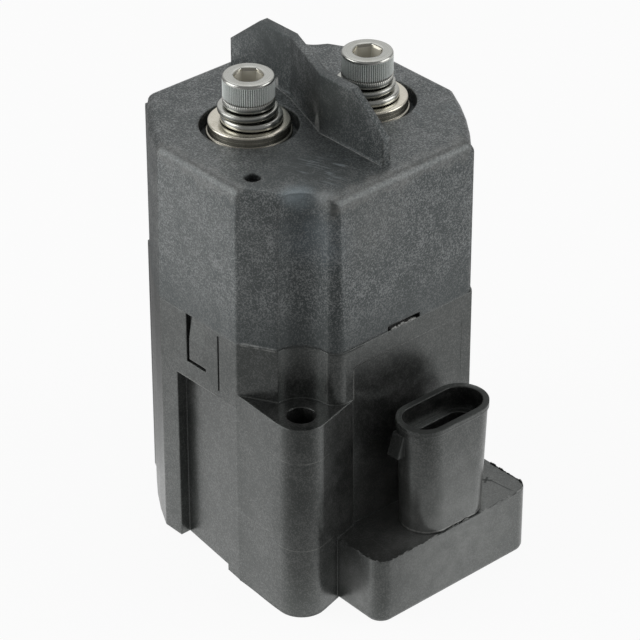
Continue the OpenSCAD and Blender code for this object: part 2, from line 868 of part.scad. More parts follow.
module tray_cover() {
    l = tray_w - 2 * tray_wall - 2 * slip_clear;
    w = tray_reach - tray_wall + tray_back_y - 2 * slip_clear;
    color(plastic)
        translate([tray_x0 + tray_wall + slip_clear, -tray_reach + tray_wall + slip_clear, slip_clear])
            cube([l, w, tray_cover_t]);
}

// Terminal: head and foot flange outside, neck through the cover, stem down to the fixed contact
module terminal() {
    bevel = 0.25;
    foot_z = terminal_z - terminal_head_t;
    head_r = terminal_d / 2;
    tip_round = 1.2;
    bore_spare = 2;
    bore_depth = shank_l - washer_t - lock_t + bore_spare;
    color(nickel) difference() {
        rotate_extrude() polygon([
            [0, fixed_contact_z],
            [stem_d / 2 - tip_round, fixed_contact_z],
            [stem_d / 2, fixed_contact_z + tip_round],
            [stem_d / 2, chamber_top_z],
            [neck_d / 2, chamber_top_z],
            [neck_d / 2, foot_z - terminal_foot_t],
            [terminal_foot_d / 2, foot_z - terminal_foot_t],
            [terminal_foot_d / 2, foot_z],
            [head_r, foot_z],
            [head_r, terminal_z - bevel],
            [head_r - bevel, terminal_z],
            [0, terminal_z]
        ]);
        translate([0, 0, terminal_z - bore_depth]) cylinder(d = screw_d + 2 * run_clear, h = bore_depth + CUT);
    }
}

module terminal_left() {
    on_axis() translate([-terminal_pitch / 2, 0, 0]) terminal();
}

module terminal_right() {
    on_axis() translate([terminal_pitch / 2, 0, 0]) terminal();
}

// Socket head cap screws
module terminal_screws() {
    bevel = 0.5;
    tip = 0.6;
    color(nickel) at_terminals(head_z) difference() {
        rotate_extrude() polygon([
            [0, -shank_l],
            [screw_d / 2 - tip, -shank_l],
            [screw_d / 2, -shank_l + tip],
            [screw_d / 2, 0],
            [head_d / 2 - bevel / 2, 0],
            [head_d / 2, bevel / 2],
            [head_d / 2, head_h - bevel],
            [head_d / 2 - bevel, head_h],
            [0, head_h]
        ]);
        translate([0, 0, head_h - hex_depth])
            cylinder(d = hex_af / cos(30), h = hex_depth + CUT, $fn = 6);
    }
}

// Split lock washers, still open at the cut
module lock_washers() {
    steps = 48;
    inner = screw_d / 2 + slip_clear;
    outer = lock_d / 2;
    turn = 360 - lock_gap;
    section = [[inner, 0], [outer, 0], [outer, lock_t], [inner, lock_t]];
    points = [
        for (i = [0 : steps], p = section)
            let(a = turn * i / steps)
            [p.x * cos(a), p.x * sin(a), p.y + lock_rise * i / steps]
    ];
    color(nickel) at_terminals(lock_z) swept(points, steps, len(section));
}

// Flat washers under the lock washers
module flat_washers() {
    bevel = 0.3;
    inner = screw_d / 2 + 2 * slip_clear;
    outer = washer_d / 2;
    color(nickel) at_terminals(terminal_z) rotate_extrude() polygon([
        [inner, 0],
        [outer, 0],
        [outer, washer_t - bevel],
        [outer - bevel, washer_t],
        [inner, washer_t]
    ]);
}

// Ceramic chamber, open below, that the terminals are sealed into
module arc_chamber() {
    corner = 3;
    color(ceramic) on_axis() difference() {
        translate([0, 0, chamber_z]) linear_extrude(chamber_top_z - chamber_z)
            rounded_plan(chamber_l, chamber_w, corner);
        translate([0, 0, chamber_z - CUT])
            linear_extrude(chamber_top_z - chamber_roof_t - chamber_z + CUT)
                rounded_plan(chamber_l - 2 * chamber_wall, chamber_w - 2 * chamber_wall, corner - chamber_wall / 2);
        for (side = [-1, 1]) {
            translate([side * terminal_pitch / 2, 0, chamber_z])
                cylinder(d = stem_d + 2 * slip_clear, h = chamber_top_z - chamber_z + CUT);
        }
    }
}

// Metal frame between the ceramic and the top plate
module sealing_flange() {
    corner = 3;
    color(steel) on_axis(plate_top_z) linear_extrude(seal_t) difference() {
        rounded_plan(yoke_l, chamber_w + 2 * seal_rim, corner);
        rounded_plan(chamber_l - 2 * chamber_wall, chamber_w - 2 * chamber_wall, corner - chamber_wall / 2);
    }
}

// Moving contact with a pad at each end
module contact_bridge() {
    color(copper) on_axis(bridge_z) difference() {
        union() {
            linear_extrude(bridge_t) oval(bridge_l, bridge_w);
            for (side = [-1, 1]) {
                translate([side * terminal_pitch / 2, 0, 0]) cylinder(d = pad_d, h = bridge_t + pad_h);
            }
        }
        translate([0, 0, -CUT]) cylinder(r = shaft_r + run_clear, h = bridge_t + 2 * CUT);
    }
}

module contact_spring() {
    color(steel) on_axis() coil_spring(contact_spring_r, contact_wire_d, contact_turns, collar_z, bridge_z);
}

// Clip in the groove near the shaft's end, which stops the bridge
module bridge_clip() {
    clip_ring_w = 2;
    clip_r = shaft_r + clip_ring_w;
    inner = shaft_r - groove_depth;
    mouth = 1.4 * inner;
    color(steel) on_axis(clip_z) linear_extrude(clip_t) difference() {
        circle(clip_r);
        circle(inner);
        translate([0, -mouth / 2]) square([clip_r + CUT, mouth]);
    }
}

// Shaft with the spring's collar and the clip's groove
module shaft() {
    tail = 1.2;
    bottom = core_z + core_seat_depth / 2;
    top = clip_z + clip_t + tail;
    color(steel) on_axis() rotate_extrude() polygon([
        [0, bottom],
        [shaft_r, bottom],
        [shaft_r, collar_z - shaft_collar_t],
        [shaft_collar_r, collar_z - shaft_collar_t],
        [shaft_collar_r, collar_z],
        [shaft_r, collar_z],
        [shaft_r, clip_z],
        [shaft_r - groove_depth, clip_z],
        [shaft_r - groove_depth, clip_z + clip_t],
        [shaft_r, clip_z + clip_t],
        [shaft_r, top - groove_depth],
        [shaft_r - groove_depth, top],
        [0, top]
    ]);
}

// Moving core with the return spring's seat, pressed on the shaft
module moving_core() {
    bevel = 0.5;
    bottom = core_z + core_seat_depth / 2;
    color(steel) on_axis() difference() {
        rotate_extrude() polygon([
            [0, core_z],
            [core_r - bevel, core_z],
            [core_r, core_z + bevel],
            [core_r, core_top_z - bevel],
            [core_r - bevel, core_top_z],
            [0, core_top_z]
        ]);
        translate([0, 0, bottom]) cylinder(r = shaft_r, h = core_top_z - bottom + CUT);
        translate([0, 0, core_top_z - core_seat_depth]) cylinder(r = return_seat_r, h = core_seat_depth + CUT);
    }
}

// Fixed core with the shaft's guide bore, held by its neck in the top plate
module fixed_core() {
    color(steel) on_axis() difference() {
        union() {
            translate([0, 0, fixed_core_z]) cylinder(r = core_r, h = plate_z - fixed_core_z);
            translate([0, 0, fixed_core_z]) cylinder(d = core_neck_d, h = plate_top_z - fixed_core_z);
        }
        translate([0, 0, fixed_core_z - CUT]) cylinder(r = shaft_r + run_clear, h = fixed_core_l + plate_t + 2 * CUT);
        translate([0, 0, fixed_core_z - CUT]) cylinder(r = return_seat_r, h = fixed_seat_depth + CUT);
    }
}

module return_spring() {
    z0 = core_top_z - core_seat_depth;
    z1 = fixed_core_z + fixed_seat_depth;
    mean_r = (return_spring_d - return_wire_d) / 2;
    color(steel) on_axis() coil_spring(mean_r, return_wire_d, return_turns, z0, z1);
}

// Closed sleeve round both cores, flanged under the top plate
module core_sleeve() {
    inner = sleeve_r - sleeve_t;
    color(steel) on_axis() difference() {
        union() {
            translate([0, 0, floor_z]) cylinder(r = sleeve_r, h = plate_z - floor_z);
            translate([0, 0, bobbin_top_z]) cylinder(r = bobbin_tube_r, h = sleeve_t);
        }
        translate([0, 0, floor_z + sleeve_t]) cylinder(r = inner, h = plate_z - floor_z);
    }
}

// Bobbin with two flanges
module bobbin() {
    color([0.85, 0.82, 0.72]) on_axis() rotate_extrude() polygon([
        [bobbin_bore_r, bobbin_z],
        [coil_d / 2, bobbin_z],
        [coil_d / 2, bobbin_z + bobbin_t],
        [bobbin_tube_r, bobbin_z + bobbin_t],
        [bobbin_tube_r, bobbin_top_z - bobbin_t],
        [coil_d / 2, bobbin_top_z - bobbin_t],
        [coil_d / 2, bobbin_top_z],
        [bobbin_bore_r, bobbin_top_z]
    ]);
}

// All turns of the coil as one body
module coil_winding() {
    h = bobbin_top_z - bobbin_z - 2 * bobbin_t;
    color(copper) on_axis(bobbin_z + bobbin_t) difference() {
        cylinder(d = coil_d - 2 * winding_inset, h = h);
        translate([0, 0, -CUT]) cylinder(r = bobbin_tube_r, h = h + 2 * CUT);
    }
}

// U-shaped yoke under and beside the coil
module yoke_frame() {
    color(steel) on_axis() difference() {
        union() {
            translate([-yoke_l / 2, -yoke_w / 2, floor_z]) cube([yoke_l, yoke_w, plate_t]);
            for (x = [-yoke_l / 2, yoke_l / 2 - plate_t]) {
                translate([x, -yoke_w / 2, floor_z]) cube([plate_t, yoke_w, plate_z - floor_z]);
            }
        }
        translate([0, 0, floor_z - CUT]) cylinder(r = sleeve_r + slip_clear, h = plate_t + 2 * CUT);
    }
}

// Plate that closes the yoke and carries the arc chamber
module top_plate() {
    color(steel) on_axis(plate_z) difference() {
        translate([-yoke_l / 2, -yoke_w / 2, 0]) cube([yoke_l, yoke_w, plate_t]);
        translate([0, 0, -CUT]) cylinder(d = core_neck_d + 2 * slip_clear, h = plate_t + 2 * CUT);
    }
}

// Magnets on the two long sides of the arc chamber
module blowout_magnets() {
    z = chamber_z + (chamber_top_z - chamber_z - magnet_h) / 2;
    color([0.3, 0.3, 0.32]) for (side = [0, 180]) {
        on_axis(z) rotate([0, 0, side])
            translate([-magnet_l / 2, chamber_w / 2, 0]) cube([magnet_l, magnet_t, magnet_h]);
    }
}

// Steel plates behind the magnets
module magnet_plates() {
    z = chamber_z + (chamber_top_z - chamber_z - magnet_h) / 2;
    color(steel) for (side = [0, 180]) {
        on_axis(z) rotate([0, 0, side])
            translate([-magnet_l / 2, chamber_w / 2 + magnet_t, 0]) cube([magnet_l, magnet_plate_t, magnet_h]);
    }
}

// Control board in the tray, drilled for pins and leads
module circuit_board() {
    color([0.12, 0.35, 0.2]) difference() {
        translate([tray_x0 + tray_wall + board_gap, -tray_reach + tray_wall + board_gap, board_z])
            cube([board_l, board_w, board_t]);
        pin_places() translate([-pin_w / 2, -pin_t / 2, board_z - CUT]) cube([pin_w, pin_t, board_t + 2 * CUT]);
        for (x = lead_places) {
            translate([x, lead_end_y, board_z - CUT]) cylinder(d = lead_d, h = board_t + 2 * CUT);
        }
    }
}

// Driver chip, choke and capacitor on the board, each a share of the board's size
module board_parts() {
    chip = [0.17 * board_l, 0.6 * board_w, 0.42 * board_head];
    choke = [0.14 * board_l, 0.6 * board_w, 0.58 * board_head];
    capacitor = [0.07 * board_l, 0.4 * board_w, 0.46 * board_head];
    edge = board_gap + 0.2 * board_w;
    x0 = tray_x0 + tray_wall + edge;
    x1 = tray_x1 - tray_wall - edge;
    y = -tray_reach + tray_wall + edge;
    top = board_z + board_t;
    color([0.15, 0.15, 0.16]) {
        translate([x0, y, top]) cube(chip);
        translate([x1 - choke.x, y, top]) cube(choke);
    }
    color([0.6, 0.5, 0.3]) translate([x0 + chip.x + edge / 2, y, top]) cube(capacitor);
}

// Blade pins from the board up into the socket
module connector_pins() {
    tail = 1;
    color(nickel) pin_places() translate([-pin_w / 2, -pin_t / 2, board_z - tail])
        cube([pin_w, pin_t, socket_floor_z + pin_free_l - board_z + tail]);
}

// Leads from the winding through the wall to the board
module coil_leads() {
    winding_r = coil_d / 2 - winding_inset;
    color([0.7, 0.2, 0.15]) for (x = lead_places) {
        start_y = axis_y - sqrt(pow(winding_r, 2) - pow(x - axis_x, 2)) - lead_d / 4;
        translate([x, start_y, lead_z]) rotate([90, 0, 0]) cylinder(d = lead_d, h = start_y - lead_end_y);
        translate([x, lead_end_y, lead_z]) sphere(d = lead_d);
        translate([x, lead_end_y, board_z]) cylinder(d = lead_d, h = lead_z - board_z);
    }
}

cover();
base();
tray_cover();
terminal_left();
terminal_right();
terminal_screws();
lock_washers();
flat_washers();
arc_chamber();
sealing_flange();
contact_bridge();
contact_spring();
bridge_clip();
shaft();
moving_core();
fixed_core();
return_spring();
core_sleeve();
bobbin();
coil_winding();
yoke_frame();
top_plate();
blowout_magnets();
magnet_plates();
circuit_board();
board_parts();
connector_pins();
coil_leads();
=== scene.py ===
"""Looks of a sealed high voltage DC contactor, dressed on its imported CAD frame, in metres."""

import json
import logging
import math
from dataclasses import dataclass
from enum import Enum
from typing import Callable, Dict, List, Optional, Sequence, Tuple

import bpy
from mathutils import Matrix, Vector, noise


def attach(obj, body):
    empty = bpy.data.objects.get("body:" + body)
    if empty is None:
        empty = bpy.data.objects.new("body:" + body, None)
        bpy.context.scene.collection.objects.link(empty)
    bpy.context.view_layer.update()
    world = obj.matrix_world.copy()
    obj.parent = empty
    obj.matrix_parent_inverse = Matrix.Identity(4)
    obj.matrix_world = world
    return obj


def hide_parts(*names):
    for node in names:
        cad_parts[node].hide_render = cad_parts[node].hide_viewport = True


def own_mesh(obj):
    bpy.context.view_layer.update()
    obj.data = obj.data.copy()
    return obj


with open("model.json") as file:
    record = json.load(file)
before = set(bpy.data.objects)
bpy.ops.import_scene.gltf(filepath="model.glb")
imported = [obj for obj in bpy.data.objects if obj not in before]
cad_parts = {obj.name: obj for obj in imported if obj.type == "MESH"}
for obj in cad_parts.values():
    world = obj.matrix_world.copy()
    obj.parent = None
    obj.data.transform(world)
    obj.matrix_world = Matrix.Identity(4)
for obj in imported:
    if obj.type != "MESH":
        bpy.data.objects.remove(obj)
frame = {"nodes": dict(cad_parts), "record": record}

Colour = Tuple[float, float, float]
Point = Tuple[float, float, float]
Band = Tuple[float, float]
Shape = Tuple[List[Point], List[List[int]]]
Socket = bpy.types.NodeSocket

MM = 0.001
LOG = logging.getLogger("contactor")

PALE: Colour = (0.2, 0.2, 0.19)
CHALK: Colour = (0.5, 0.5, 0.48)
DARK: Colour = (0.003, 0.003, 0.003)
UP: Point = (0.0, 0.0, 1.0)
EAST: Point = (1.0, 0.0, 0.0)


class Body(Enum):
    """Rigid bodies that new pieces ride on."""

    HOUSING = "housing"
    ARMATURE = "armature"


class Side(Enum):
    """The two terminals, along the terminal line."""

    LEFT = -1
    RIGHT = 1


class Effect(Enum):
    """Shared shader effects, each one node group."""

    FIBRE = "fibre grain"
    WEAR_AND_SHADE = "edge wear and crevice shade"
    LINE = "mould line and painted light line"
    SCUFF = "scuff marks"
    TURNING = "turning marks"


class Graph:
    """Adds and links the nodes of one shader tree."""

    def __init__(self, tree: bpy.types.NodeTree) -> None:
        """Keep the tree.

        Args:
            tree: Node tree of a material, a world or a group.
        """
        self.tree = tree

    def node(self, kind: str, **settings: object) -> bpy.types.Node:
        """Add a node.

        Args:
            kind: Node type, without its ShaderNode prefix.
            settings: Properties of the node to set.

        Returns:
            The new node.
        """
        made = self.tree.nodes.new("ShaderNode" + kind)
        for name, value in settings.items():
            setattr(made, name, value)
        return made

    def feed(self, socket: Socket, value: object) -> None:
        """Link a socket to an input, or set the input's own value.

        Args:
            socket: Input socket.
            value: Output socket, number or vector.
        """
        if isinstance(value, bpy.types.NodeSocket):
            self.tree.links.new(value, socket)
        elif value is not None:
            socket.default_value = value

    def math(self, operation: str, a: object, b: object = None, clamp: bool = False) -> Socket:
        """One step of arithmetic.

        Args:
            operation: Name of the operation.
            a: First value.
            b: Second value.
            clamp: Whether the result is kept between 0 and 1.

        Returns:
            Result.
        """
        made = self.node("Math", operation=operation, use_clamp=clamp)
        self.feed(made.inputs[0], a)
        self.feed(made.inputs[1], b)
        return made.outputs[0]

    def times(self, a: object, b: object, clamp: bool = False) -> Socket:
        """Product of two values."""
        return self.math("MULTIPLY", a, b, clamp)

    def plus(self, a: object, b: object) -> Socket:
        """Sum of two values."""
        return self.math("ADD", a, b)

    def minus(self, a: object, b: object) -> Socket:
        """First value less the second."""
        return self.math("SUBTRACT", a, b)

    def rest(self, value: object) -> Socket:
        """What a value leaves of 1."""
        return self.minus(1.0, value)

    def over(self, a: object, b: object) -> Socket:
        """First value divided by the second."""
        return self.math("DIVIDE", a, b)

    def larger(self, a: object, b: object) -> Socket:
        """Larger of two values."""
        return self.math("MAXIMUM", a, b)

    def partly(self, mask: object, share: object) -> Socket:
        """Mask that counts by a share only; with a share of 0 it is 1 everywhere."""
        return self.plus(self.times(mask, share), self.rest(share))

    def swing(self, middle: float, mask: object, width: float) -> Socket:
        """Value that a mask moves about its middle, over a width."""
        return self.plus(middle - width / 2, self.times(mask, width))

    def vector(self, operation: str, a: object, b: object = None) -> Socket:
        """One step of vector arithmetic.

        Args:
            operation: Name of the operation.
            a: First vector.
            b: Second vector, or the factor of SCALE.

        Returns:
            Resulting vector or value.
        """
        made = self.node("VectorMath", operation=operation)
        self.feed(made.inputs[0], a)
        self.feed(made.inputs["Scale" if operation == "SCALE" else 1], b)
        return made.outputs["Value" if operation in ("DOT_PRODUCT", "LENGTH", "DISTANCE") else "Vector"]

    def step(self, value: object, low: object, high: object) -> Socket:
        """Smooth rise from 0 at low to 1 at high.

        Args:
            value: Value to map.
            low: Where the result is 0.
            high: Where the result is 1.

        Returns:
            Mask from 0 to 1.
        """
        made = self.node("MapRange", interpolation_type="SMOOTHSTEP")
        self.feed(made.inputs["Value"], value)
        self.feed(made.inputs["From Min"], low)
        self.feed(made.inputs["From Max"], high)
        return made.outputs["Result"]

    def fade(self, value: object, low: object, high: object) -> Socket:
        """Smooth fall from 1 at low to 0 at high."""
        return self.rest(self.step(value, low, high))

    def near(self, place: object, middle: Point, core: float, reach: float) -> Socket:
        """Mask that is 1 in a core round a point and fades out at its reach."""
        off = self.vector("LENGTH", self.vector("SUBTRACT", place, middle))
        return self.fade(off, core, reach)

    def facing(self, way: object, aim: Point, band: Band) -> Socket:
        """Mask of the directions near an aim."""
        return self.step(self.vector("DOT_PRODUCT", way, aim), *band)

    def split(self, place: object) -> bpy.types.NodeOutputs:
        """Parts of a vector along X, Y and Z."""
        made = self.node("SeparateXYZ")
        self.feed(made.inputs[0], place)
        return made.outputs

    def noise(self, place: object, scale: object, detail: float = 2.0, roughness: float = 0.5,
              distortion: float = 0.0) -> Socket:
        """Smooth random value from 0 to 1.

        Args:
            place: Coordinates.
            scale: Repeats per unit of the coordinates.
            detail: Octaves.
            roughness: Share of the finer octaves.
            distortion: Swirl.

        Returns:
            Noise value.
        """
        made = self.node("TexNoise")
        self.feed(made.inputs["Vector"], place)
        self.feed(made.inputs["Scale"], scale)
        made.inputs["Detail"].default_value = detail
        made.inputs["Roughness"].default_value = roughness
        made.inputs["Distortion"].default_value = distortion
        return made.outputs["Fac"]

    def mix(self, amount: object, a: object, b: object, blend: str = "MIX") -> Socket:
        """Mix two colours.

        Args:
            amount: Share of the second colour.
            a: First colour.
            b: Second colour.
            blend: Blend mode.

        Returns:
            Mixed colour.
        """
        made = self.node("Mix", data_type="RGBA", blend_type=blend, clamp_factor=True)
        self.feed(made.inputs["Factor"], amount)
        self.feed(made.inputs["A"], rgba(a))
        self.feed(made.inputs["B"], rgba(b))
        return next(out for out in made.outputs if out.type == "RGBA")

    def effect(self, kind: Effect, **inputs: object) -> Dict[str, Socket]:
        """Place a shared effect.

        Args:
            kind: Effect to place.
            inputs: Values of its inputs; underscores stand for spaces.

        Returns:
            Its outputs by name.
        """
        made = self.node("Group")
        made.node_tree = EFFECTS.tree(kind)
        for name, value in inputs.items():
            self.feed(made.inputs[name.replace("_", " ")], value)
        return {out.name: out for out in made.outputs}

    def place_mm(self) -> Socket:
        """Coordinates of the piece itself, in millimetres."""
        return self.vector("SCALE", self.node("TexCoord").outputs["Object"], 1 / MM)


def rgba(colour: object) -> object:
    """Give a plain colour its alpha; sockets pass through."""
    if isinstance(colour, tuple) and len(colour) == 3:
        return (*colour, 1.0)
    return colour


def empty_graph(owner: bpy.types.ID) -> Graph:
    """Graph of a material or a world, with no node in it."""
    owner.use_nodes = True
    owner.node_tree.nodes.clear()
    return Graph(owner.node_tree)


def add_object(name: str, data: bpy.types.ID) -> bpy.types.Object:
    """Put new data into the scene as an object."""
    made = bpy.data.objects.new(name, data)
    bpy.context.scene.collection.objects.link(made)
    return made


class EffectShelf:
    """Builds each shared effect once, as a node group with named sockets."""

    def __init__(self) -> None:
        """Start with no group."""
        self.groups: Dict[Effect, bpy.types.NodeTree] = {}

    def tree(self, kind: Effect) -> bpy.types.NodeTree:
        """Group of an effect.

        Args:
            kind: Effect.

        Returns:
            Its node group, built at the first call.
        """
        if kind not in self.groups:
            maker = {Effect.FIBRE: self.fibre, Effect.WEAR_AND_SHADE: self.wear_and_shade, Effect.LINE: self.line,
                     Effect.SCUFF: self.scuff, Effect.TURNING: self.turning}[kind]
            self.groups[kind] = maker(bpy.data.node_groups.new(kind.value, "ShaderNodeTree"))
        return self.groups[kind]

    @staticmethod
    def sockets(tree: bpy.types.NodeTree, inputs: Dict[str, object],
                outputs: Sequence[str]) -> Tuple[Graph, Dict[str, Socket], Dict[str, Socket]]:
        """Give a group its sockets.

        Args:
            tree: Group.
            inputs: Input names with their default values; a tuple makes a vector.
            outputs: Names of the outputs; Normal is a vector, the others are plain values.

        Returns:
            Graph of the group, its inputs and its outputs by name.
        """
        for name, value in inputs.items():
            kind = "NodeSocketVector" if isinstance(value, tuple) else "NodeSocketFloat"
            tree.interface.new_socket(name, in_out="INPUT", socket_type=kind).default_value = value
        for name in outputs:
            kind = "NodeSocketVector" if name == "Normal" else "NodeSocketFloat"
            tree.interface.new_socket(name, in_out="OUTPUT", socket_type=kind)
        graph = Graph(tree)
        start = tree.nodes.new("NodeGroupInput")
        end = tree.nodes.new("NodeGroupOutput")
        return (graph, {s.name: s for s in start.outputs if s.name},
                {s.name: s for s in end.inputs if s.name})

    def fibre(self, tree: bpy.types.NodeTree) -> bpy.types.NodeTree:
        """Mottle and short glass fibres of a filled moulding.

        Args:
            tree: Empty group.

        Returns:
            The filled group.
        """
        graph, get, put = self.sockets(
            tree, {"Place": (0.0, 0.0, 0.0), "Patch Size": 6.0, "Fleck Size": 0.5},
            ["Patch", "Fleck", "Skin", "Height"])
        place = get["Place"]
        lays = ((0.6, (1.0, 0.55, 0.8)), (-0.8, (0.6, 1.0, 1.0)), (1.9, (0.9, 1.0, 0.55)))
        finer_repeats, patch_share, crowding, finer_relief = 3.1, 0.6, 0.36, 0.5
        fleck_band, skin_band = (0.56, 0.7), (0.5, 0.66)
        patch = graph.noise(place, graph.over(1.0, get["Patch Size"]), 4.0, 0.62, 0.5)
        finer = graph.noise(place, graph.over(finer_repeats, get["Patch Size"]), 3.0, 0.6, 0.8)
        fleck_scale = graph.over(1.0, get["Fleck Size"])
        runs: List[Socket] = []
        for turn, squeeze in lays:
            tilt = graph.node("Mapping")
            graph.feed(tilt.inputs["Vector"], place)
            tilt.inputs["Rotation"].default_value = (turn, turn * 0.7, turn * 1.3)
            tilt.inputs["Scale"].default_value = squeeze
            runs.append(graph.noise(tilt.outputs["Vector"], fleck_scale, 2.0, 0.55))
        peak = graph.larger(graph.larger(runs[0], runs[1]), runs[2])
        both = graph.plus(graph.times(patch, patch_share), graph.times(finer, 1 - patch_share))
        crowd = graph.plus(peak, graph.times(graph.minus(both, 0.5), crowding))
        graph.feed(put["Patch"], both)
        graph.feed(put["Fleck"], graph.step(crowd, *fleck_band))
        graph.feed(put["Skin"], graph.step(crowd, *skin_band))
        graph.feed(put["Height"], graph.plus(peak, graph.times(finer, finer_relief)))
        return tree

    def wear_and_shade(self, tree: bpy.types.NodeTree) -> bpy.types.NodeTree:
        """Rounded normal at corners and edges, their mask broken up by noise, and a mask of narrow gaps for
        painted shade.

        Args:
            tree: Empty group.

        Returns:
            The filled group.
        """
        graph, get, put = self.sockets(
            tree, {"Place": (0.0, 0.0, 0.0), "Width mm": 0.8, "Breaks": 0.5, "Gap mm": 1.0},
            ["Edge", "Crevice", "Normal"])
        bend_band, worn_band, outer_band, gap_band = (0.015, 0.16), (0.36, 0.62), (0.6, 0.9), (0.25, 0.75)
        soft = graph.node("Bevel", samples=6)
        graph.feed(soft.inputs["Radius"], graph.times(get["Width mm"], MM))
        flat = graph.node("NewGeometry").outputs["True Normal"]
        bent = graph.rest(graph.vector("DOT_PRODUCT", soft.outputs["Normal"], flat))
        edge = graph.step(bent, *bend_band)
        worn = graph.step(graph.noise(get["Place"], 0.9, 4.0, 0.65), *worn_band)
        keep = graph.partly(worn, get["Breaks"])
        open_sky = graph.node("AmbientOcclusion", samples=6)
        graph.feed(open_sky.inputs["Distance"], graph.times(get["Gap mm"], MM))
        outer = graph.step(open_sky.outputs["AO"], *outer_band)
        graph.feed(put["Edge"], graph.times(graph.times(edge, outer), keep, clamp=True))
        # Crevice Shade: low ambient occlusion in narrow gaps and corners, the mask of painted shade.
        graph.feed(put["Crevice"], graph.fade(open_sky.outputs["AO"], *gap_band))
        graph.feed(put["Normal"], soft.outputs["Normal"])
        return tree

    def line(self, tree: bpy.types.NodeTree) -> bpy.types.NodeTree:
        """Mask of a thin line where a plane cuts the surface, within reach of its middle.

        Args:
            tree: Empty group.

        Returns:
            The filled group.
        """
        graph, get, put = self.sockets(
            tree, {"Place": (0.0, 0.0, 0.0), "Middle": (0.0, 0.0, 0.0), "Across": (0.0, 0.0, 1.0),
                   "Reach": 5.0, "Width": 0.2, "Breaks": 0.5, "Wander": 0.5, "Gap": 0.5}, ["Line"])
        width_band, reach_band, gap_band = (0.25, 0.6), (0.82, 1.0), (0.4, 0.56)
        off = graph.vector("SUBTRACT", get["Place"], get["Middle"])
        wander = graph.minus(get["Wander"], 0.5)
        level = graph.vector("DOT_PRODUCT", off, get["Across"])
        apart = graph.math("ABSOLUTE", graph.plus(level, graph.times(wander, get["Width"])))
        thin = graph.fade(graph.over(apart, get["Width"]), *width_band)
        near = graph.fade(graph.over(graph.vector("LENGTH", off), get["Reach"]), *reach_band)
        keep = graph.partly(graph.step(get["Gap"], *gap_band), get["Breaks"])
        graph.feed(put["Line"], graph.times(graph.times(thin, near), keep, clamp=True))
        return tree

    def scuff(self, tree: bpy.types.NodeTree) -> bpy.types.NodeTree:
        """Mask of fine rubbed streaks that run one way.

        Args:
            tree: Empty group.

        Returns:
            The filled group.
        """
        graph, get, put = self.sockets(
            tree, {"Place": (0.0, 0.0, 0.0), "Turn": 0.0, "Streak Size": 1.0, "Amount": 0.5}, ["Streak"])
        squash, streak_repeats, field_repeats, field_band = (0.11, 1.0, 1.0), 1.6, 0.22, (0.42, 0.62)
        top_limit, limit_drop, blur = 0.72, 0.2, 0.12
        turn = graph.node("VectorRotate", rotation_type="Z_AXIS")
        graph.feed(turn.inputs["Vector"], get["Place"])
        graph.feed(turn.inputs["Angle"], get["Turn"])
        squeeze = graph.vector("MULTIPLY", turn.outputs["Vector"], squash)
        scale = graph.over(streak_repeats, get["Streak Size"])
        streak = graph.noise(squeeze, scale, 4.0, 0.6, 0.35)
        where = graph.noise(get["Place"], graph.over(field_repeats, get["Streak Size"]), 2.0)
        limit = graph.minus(top_limit, graph.times(get["Amount"], limit_drop))
        thin = graph.step(streak, limit, graph.plus(limit, blur))
        graph.feed(put["Streak"], graph.times(thin, graph.step(where, *field_band), clamp=True))
        return tree

    def turning(self, tree: bpy.types.NodeTree) -> bpy.types.NodeTree:
        """Rings round the piece's own upright axis and soft stains of a plated, turned piece.

        Args:
            tree: Empty group.

        Returns:
            The filled group.
        """
        graph, get, put = self.sockets(
            tree, {"Place": (0.0, 0.0, 0.0), "Ring Size": 0.25, "Stain Size": 3.0}, ["Ring", "Stain"])
        split = graph.split(get["Place"])
        out = graph.math("SQRT", graph.plus(*(graph.math("POWER", split[axis], 2.0) for axis in "XY")))
        where = graph.node("CombineXYZ")
        graph.feed(where.inputs["X"], out)
        graph.feed(where.inputs["Z"], split["Z"])
        graph.feed(put["Ring"], graph.noise(where.outputs[0], graph.over(1.0, get["Ring Size"]), 3.0, 0.6))
        graph.feed(put["Stain"], graph.noise(get["Place"], graph.over(1.0, get["Stain Size"]), 4.0, 0.6))
        return tree


EFFECTS = EffectShelf()


@dataclass(frozen=True)
class MouldAndLightLine:
    """A thin mark on a moulding, a mould line or a line of painted highlight or painted shade, in millimetres
    of the part's frame.
    """

    middle: Point
    across: Point
    reach: float
    colour: Colour
    width: float = 0.22
    strength: float = 0.6
    breaks: float = 0.6


@dataclass(frozen=True)
class PaintedLightPatch:
    """A soft patch of painted light or painted shade on a moulding, in millimetres of the part's frame."""

    middle: Point
    reach: float
    colour: Colour
    strength: float


@dataclass(frozen=True)
class Rub:
    """A field of rubbed streaks on a moulding, in millimetres of the part's frame."""

    middle: Point
    reach: float
    turn: float
    amount: float


@dataclass(frozen=True)
class Finish:
    """A surface finish with a procedural material."""

    slot: str
    colour: Colour

    def shader(self) -> Tuple[bpy.types.Material, Graph, bpy.types.Node]:
        """Start the material.

        Returns:
            Material, its graph and its Principled shader.
        """
        made = bpy.data.materials.new(self.slot)
        graph = empty_graph(made)
        surface = graph.node("BsdfPrincipled")
        end = graph.node("OutputMaterial")
        graph.feed(end.inputs["Surface"], surface.outputs[0])
        return made, graph, surface

    def bump(self, graph: Graph, surface: bpy.types.Node, height: Socket, strength: float,
             depth_mm: float, normal: Optional[Socket] = None) -> None:
        """Give the surface small relief.

        Args:
            graph: Graph of the material.
            surface: Principled shader.
            height: Relief from 0 to 1.
            strength: Share of the relief that shows.
            depth_mm: Depth of the relief.
            normal: Normal that the relief stands on, if not the mesh's own.
        """
        relief = graph.node("Bump")
        graph.feed(relief.inputs["Normal"], normal)
        relief.inputs["Strength"].default_value = strength
        relief.inputs["Distance"].default_value = depth_mm * MM
        graph.feed(relief.inputs["Height"], height)
        graph.feed(surface.inputs["Normal"], relief.outputs["Normal"])

    def material(self) -> bpy.types.Material:
        """Build the material; each kind of finish has its own."""
        raise NotImplementedError


